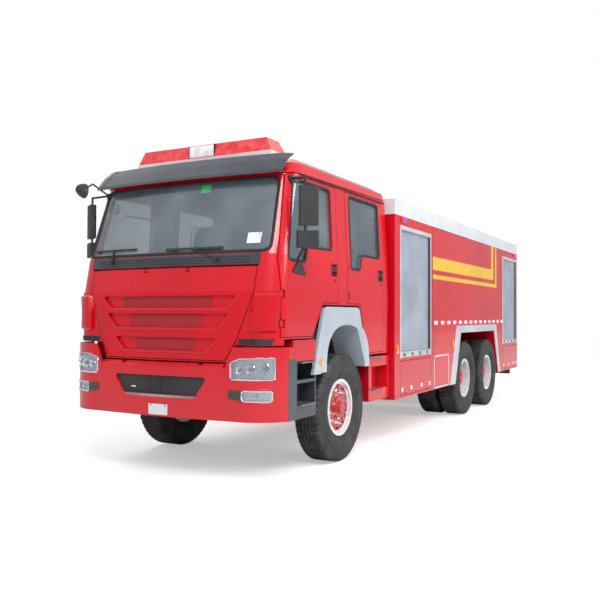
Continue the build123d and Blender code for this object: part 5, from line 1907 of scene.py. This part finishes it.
@dataclass
class BodyMarkings:
    """Stripes, reflective tape, seams and side lamps on the rear body."""

    stripe_start: float = 4.26
    stripe_top: float = 2.745
    # Each stripe's low and high Z, and how far back the inner and outer edge of its upright part are
    stripes: tuple[tuple[float, float, float, float], ...] = ((2.155, 2.335, 7.43, 7.57),
                                                              (2.03, 2.09, 7.70, 7.79))
    skin_x: Point2 = (1.2492, 1.2512)
    seam_x: Point2 = (1.2480, 1.2504)
    tape_ys: Point2 = (4.40, 8.165)
    tape_count: int = 14
    tape_half: float = 0.075
    tape_z: Point2 = (1.405, 1.455)
    skirt_patches: tuple[float, ...] = (3.10, 3.42, 3.80, 4.12, 8.35, 8.72, 9.10, 9.36)
    # The edged panel's span as distances back, and its low and high Z
    panel: tuple[Point2, Point2] = ((4.31, 4.98), (0.53, 0.98))
    edging: float = 0.018
    seam_ys: Point2 = (4.25, 8.14)
    rivet_ys: Point2 = (4.30, 8.09)
    rivet_count: int = 14
    rivet_from: float = 1.1
    rivet_pitch: float = 0.115
    marker_ys: tuple[float, ...] = (2.92, 5.18, 8.20)
    marker_z: float = 1.12
    strobe_ys: Point2 = (3.13, 9.20)

    def outline(self, points: Sequence[Point2]) -> list[Point2]:
        """Points given by distance back, as frame points."""
        return [(back(y), z) for y, z in points]

    def build(self, palette: Palette) -> None:
        """Makes the pieces on both sides.

        Args:
            palette: the finishes.
        """
        stripes = Piece("yellow_stripes", "chassis", palette.yellow, "red_paint")
        start, top = self.stripe_start, self.stripe_top
        for low, high, inner, outer in self.stripes:
            stripes.prism(self.outline(((start, low), (outer, low), (outer, top), (inner, top),
                                        (inner, high), (start, high))), Run.X, self.skin_x)
        stripes.both_sides().done()
        tape = Piece("reflective_tape", "chassis", palette.reflective, "white_paint")
        first, last = self.tape_ys
        for k in range(self.tape_count):
            y = first + (last - first) * k / (self.tape_count - 1)
            tape.block(self.skin_x, (back(y - self.tape_half), back(y + self.tape_half)), self.tape_z, 0.0)
        for y in self.skirt_patches:
            tape.block((1.2505, 1.2525), (back(y - 0.03), back(y + 0.03)), (0.60, 0.65), 0.0)
        tape.both_sides().done()
        self.trims(palette)
        self.lamps(palette)

    def trims(self, palette: Palette) -> None:
        """Bright edging of the lower panels, the seams' cover strips and rows of rivets.

        Args:
            palette: the finishes.
        """
        trim = Piece("body_edge_trim", "chassis", palette.white, "bright_trim")
        width = self.edging
        (y0, y1), (z0, z1) = self.panel
        for front, rear, low, high in ((y0, y1, z0, z0 + width), (y0, y1, z1 - width, z1),
                                       (y0, y0 + width, z0, z1), (y1 - width, y1, z0, z1)):
            trim.block((1.249, 1.254), (back(front), back(rear)), (low, high), 0.001)
        trim.both_sides().done()
        seam = Piece("body_seams", "chassis", palette.seal, "black_plastic")
        for y in self.seam_ys:
            seam.block(self.seam_x, (back(y - 0.004), back(y + 0.004)), (1.0, 2.742), 0.0)
        seam.block(self.seam_x, (back(4.26), back(8.13)), (2.738, 2.744), 0.0)
        seam.both_sides().done()
        rivets = Piece("body_rivets", "chassis", palette.red, "red_paint")
        for y in self.rivet_ys:
            for k in range(self.rivet_count):
                centre = (0, back(y), self.rivet_from + k * self.rivet_pitch)
                rivets.lathe([(1.2495, 0.007), (1.2515, 0.006), (1.253, 0)], centre, steps=8)
        rivets.both_sides().done()

    def lamps(self, palette: Palette) -> None:
        """Amber side markers along the body and the strobes' blue lenses.

        Args:
            palette: the finishes.
        """
        amber = Piece("side_markers", "chassis", palette.amber_lens, "lamp_lens")
        height = (self.marker_z - 0.055, self.marker_z + 0.055)
        for y in self.marker_ys:
            amber.block((1.249, 1.264), (back(y - 0.022), back(y + 0.022)), height, 0.005)
        amber.both_sides().done()
        blue = Piece("strobe_lenses", "chassis", palette.blue_lens, "lamp_lens")
        for y in self.strobe_ys:
            blue.block((1.271, 1.2735), (back(y - 0.055), back(y + 0.055)), (2.678, 2.728), 0.001)
        blue.both_sides().done()


@dataclass
class ShutterTrim:
    """Guides, seals, bottom bars and latches of the roller shutters on the sides."""

    # Each bay's front and rear as distances back, and its low and high Z
    bays: tuple[tuple[float, float, float, float], ...] = ((3.03, 4.17, 1.005, 2.60),
                                                           (8.25, 9.38, 1.012, 2.60))
    latch_count: int = 4
    latch_inset: float = 0.14

    def build(self, palette: Palette) -> None:
        """Makes the guides and latches on both sides.

        Args:
            palette: the finishes.
        """
        guides = Piece("shutter_guides", "chassis", palette.trim, "bright_trim")
        seals = Piece("shutter_seals", "chassis", palette.seal, "black_plastic")
        latches = Piece("shutter_latches", "chassis", palette.grey, "black_plastic")
        for y0, y1, z0, z1 in self.bays:
            for y in (y0 - 0.012, y1 - 0.012):
                guides.block((1.236, 1.254), (back(y), back(y + 0.024)), (z0, z1), 0.002)
            guides.block((1.236, 1.256), (back(y0 - 0.012), back(y1 + 0.012)), (z1 - 0.02, z1 + 0.03), 0.003)
            for y in (y0 + 0.014, y1 - 0.026):
                seals.block((1.22, 1.247), (back(y), back(y + 0.012)), (z0, z1 - 0.02), 0.002)
            guides.block((1.226, 1.250), (back(y0 + 0.02), back(y1 - 0.02)), (z0 + 0.005, z0 + 0.075), 0.004)
            first, last = y0 + self.latch_inset, y1 - self.latch_inset
            for k in range(self.latch_count):
                y = first + (last - first) * k / (self.latch_count - 1)
                latches.block((1.248, 1.256), (back(y - 0.035), back(y + 0.035)),
                              (z0 + 0.018, z0 + 0.062), 0.003)
        guides.both_sides().done()
        seals.both_sides().done()
        latches.both_sides().done()


@dataclass
class LightBar:
    """The clear centre of the roof light bar and the dark seams beside it."""

    clear_half: float = 0.155
    seam_half: float = 0.004

    def build(self, palette: Palette) -> None:
        """Makes the bar's fittings round its CAD lenses.

        Args:
            palette: the finishes.
        """
        low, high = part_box("light_bar_lenses")
        seams = Piece("light_bar_seams", "cab", palette.seal, "black_plastic")
        for x in (-self.clear_half, self.clear_half):
            seams.block((x - self.seam_half, x + self.seam_half), (low.y - 0.002, high.y + 0.002),
                        (low.z, high.z - 0.004), 0.002)
        seams.done()
        core = Piece("light_bar_centre", "cab", palette.clear_lens, "lamp_lens")
        inner = self.clear_half - self.seam_half
        core.block((-inner, inner), (low.y - 0.003, low.y + 0.01), (low.z + 0.01, high.z - 0.012), 0.004)
        core.done()


@dataclass
class MirrorGlass:
    """The reflecting faces of the mirror heads, set in their rims."""

    pole: Point2 = (1.305, 0.475)
    turn: float = 33.0
    # Each head's offset from the pole, its width, and its low and high Z
    heads: tuple[tuple[float, float, float, float], ...] = ((0.031, 0.182, 2.345, 2.705),
                                                            (0.022, 0.204, 2.140, 2.295))
    margin: float = 0.012
    depth: float = 0.0302
    half_thickness: float = 0.002

    def build(self, palette: Palette) -> None:
        """Makes both sides' faces.

        Args:
            palette: the finishes.
        """
        for side in Side:
            piece = Piece(f"mirror_faces_{side.label}", f"door_front_{side.label}", palette.mirror,
                          "black_plastic")
            turn = math.radians(self.turn)
            along = Vector((math.cos(turn) * side.value, math.sin(turn), 0))
            rear = Vector((-math.sin(turn) * side.value, math.cos(turn), 0))
            pole = Vector((self.pole[0] * side.value, back(self.pole[1]), 0))
            for offset, width, low, high in self.heads:
                middle = pole + along * offset + rear * self.depth
                half, bottom, top = width / 2 - self.margin, low + self.margin, high - self.margin
                face = rounded([(-half, bottom), (half, bottom), (half, top), (-half, top)], 0.02)
                corners = [middle + along * d + Vector((0, 0, z)) for d, z in face]
                piece.loft([[piece.mesh.verts.new(corner + rear * lift) for corner in corners]
                            for lift in (-self.half_thickness, self.half_thickness)])
            piece.done()


def main() -> None:
    """Loads the frame, then builds and reports each sub-assembly in order."""
    logging.basicConfig(level=logging.INFO, format="%(name)s: %(message)s")
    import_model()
    palette = Palette()
    Viewpoint().build()
    Studio().build()
    Frame(palette).dress()
    for assembly in (Wheels, DoorTrim, FrontTrim, BumperTrim, Seats, StepTrim, BodyMarkings,
                     ShutterTrim, LightBar, MirrorGlass):
        log.info("building %s", assembly.__name__)
        assembly().build(palette)


if __name__ == "__main__":
    main()
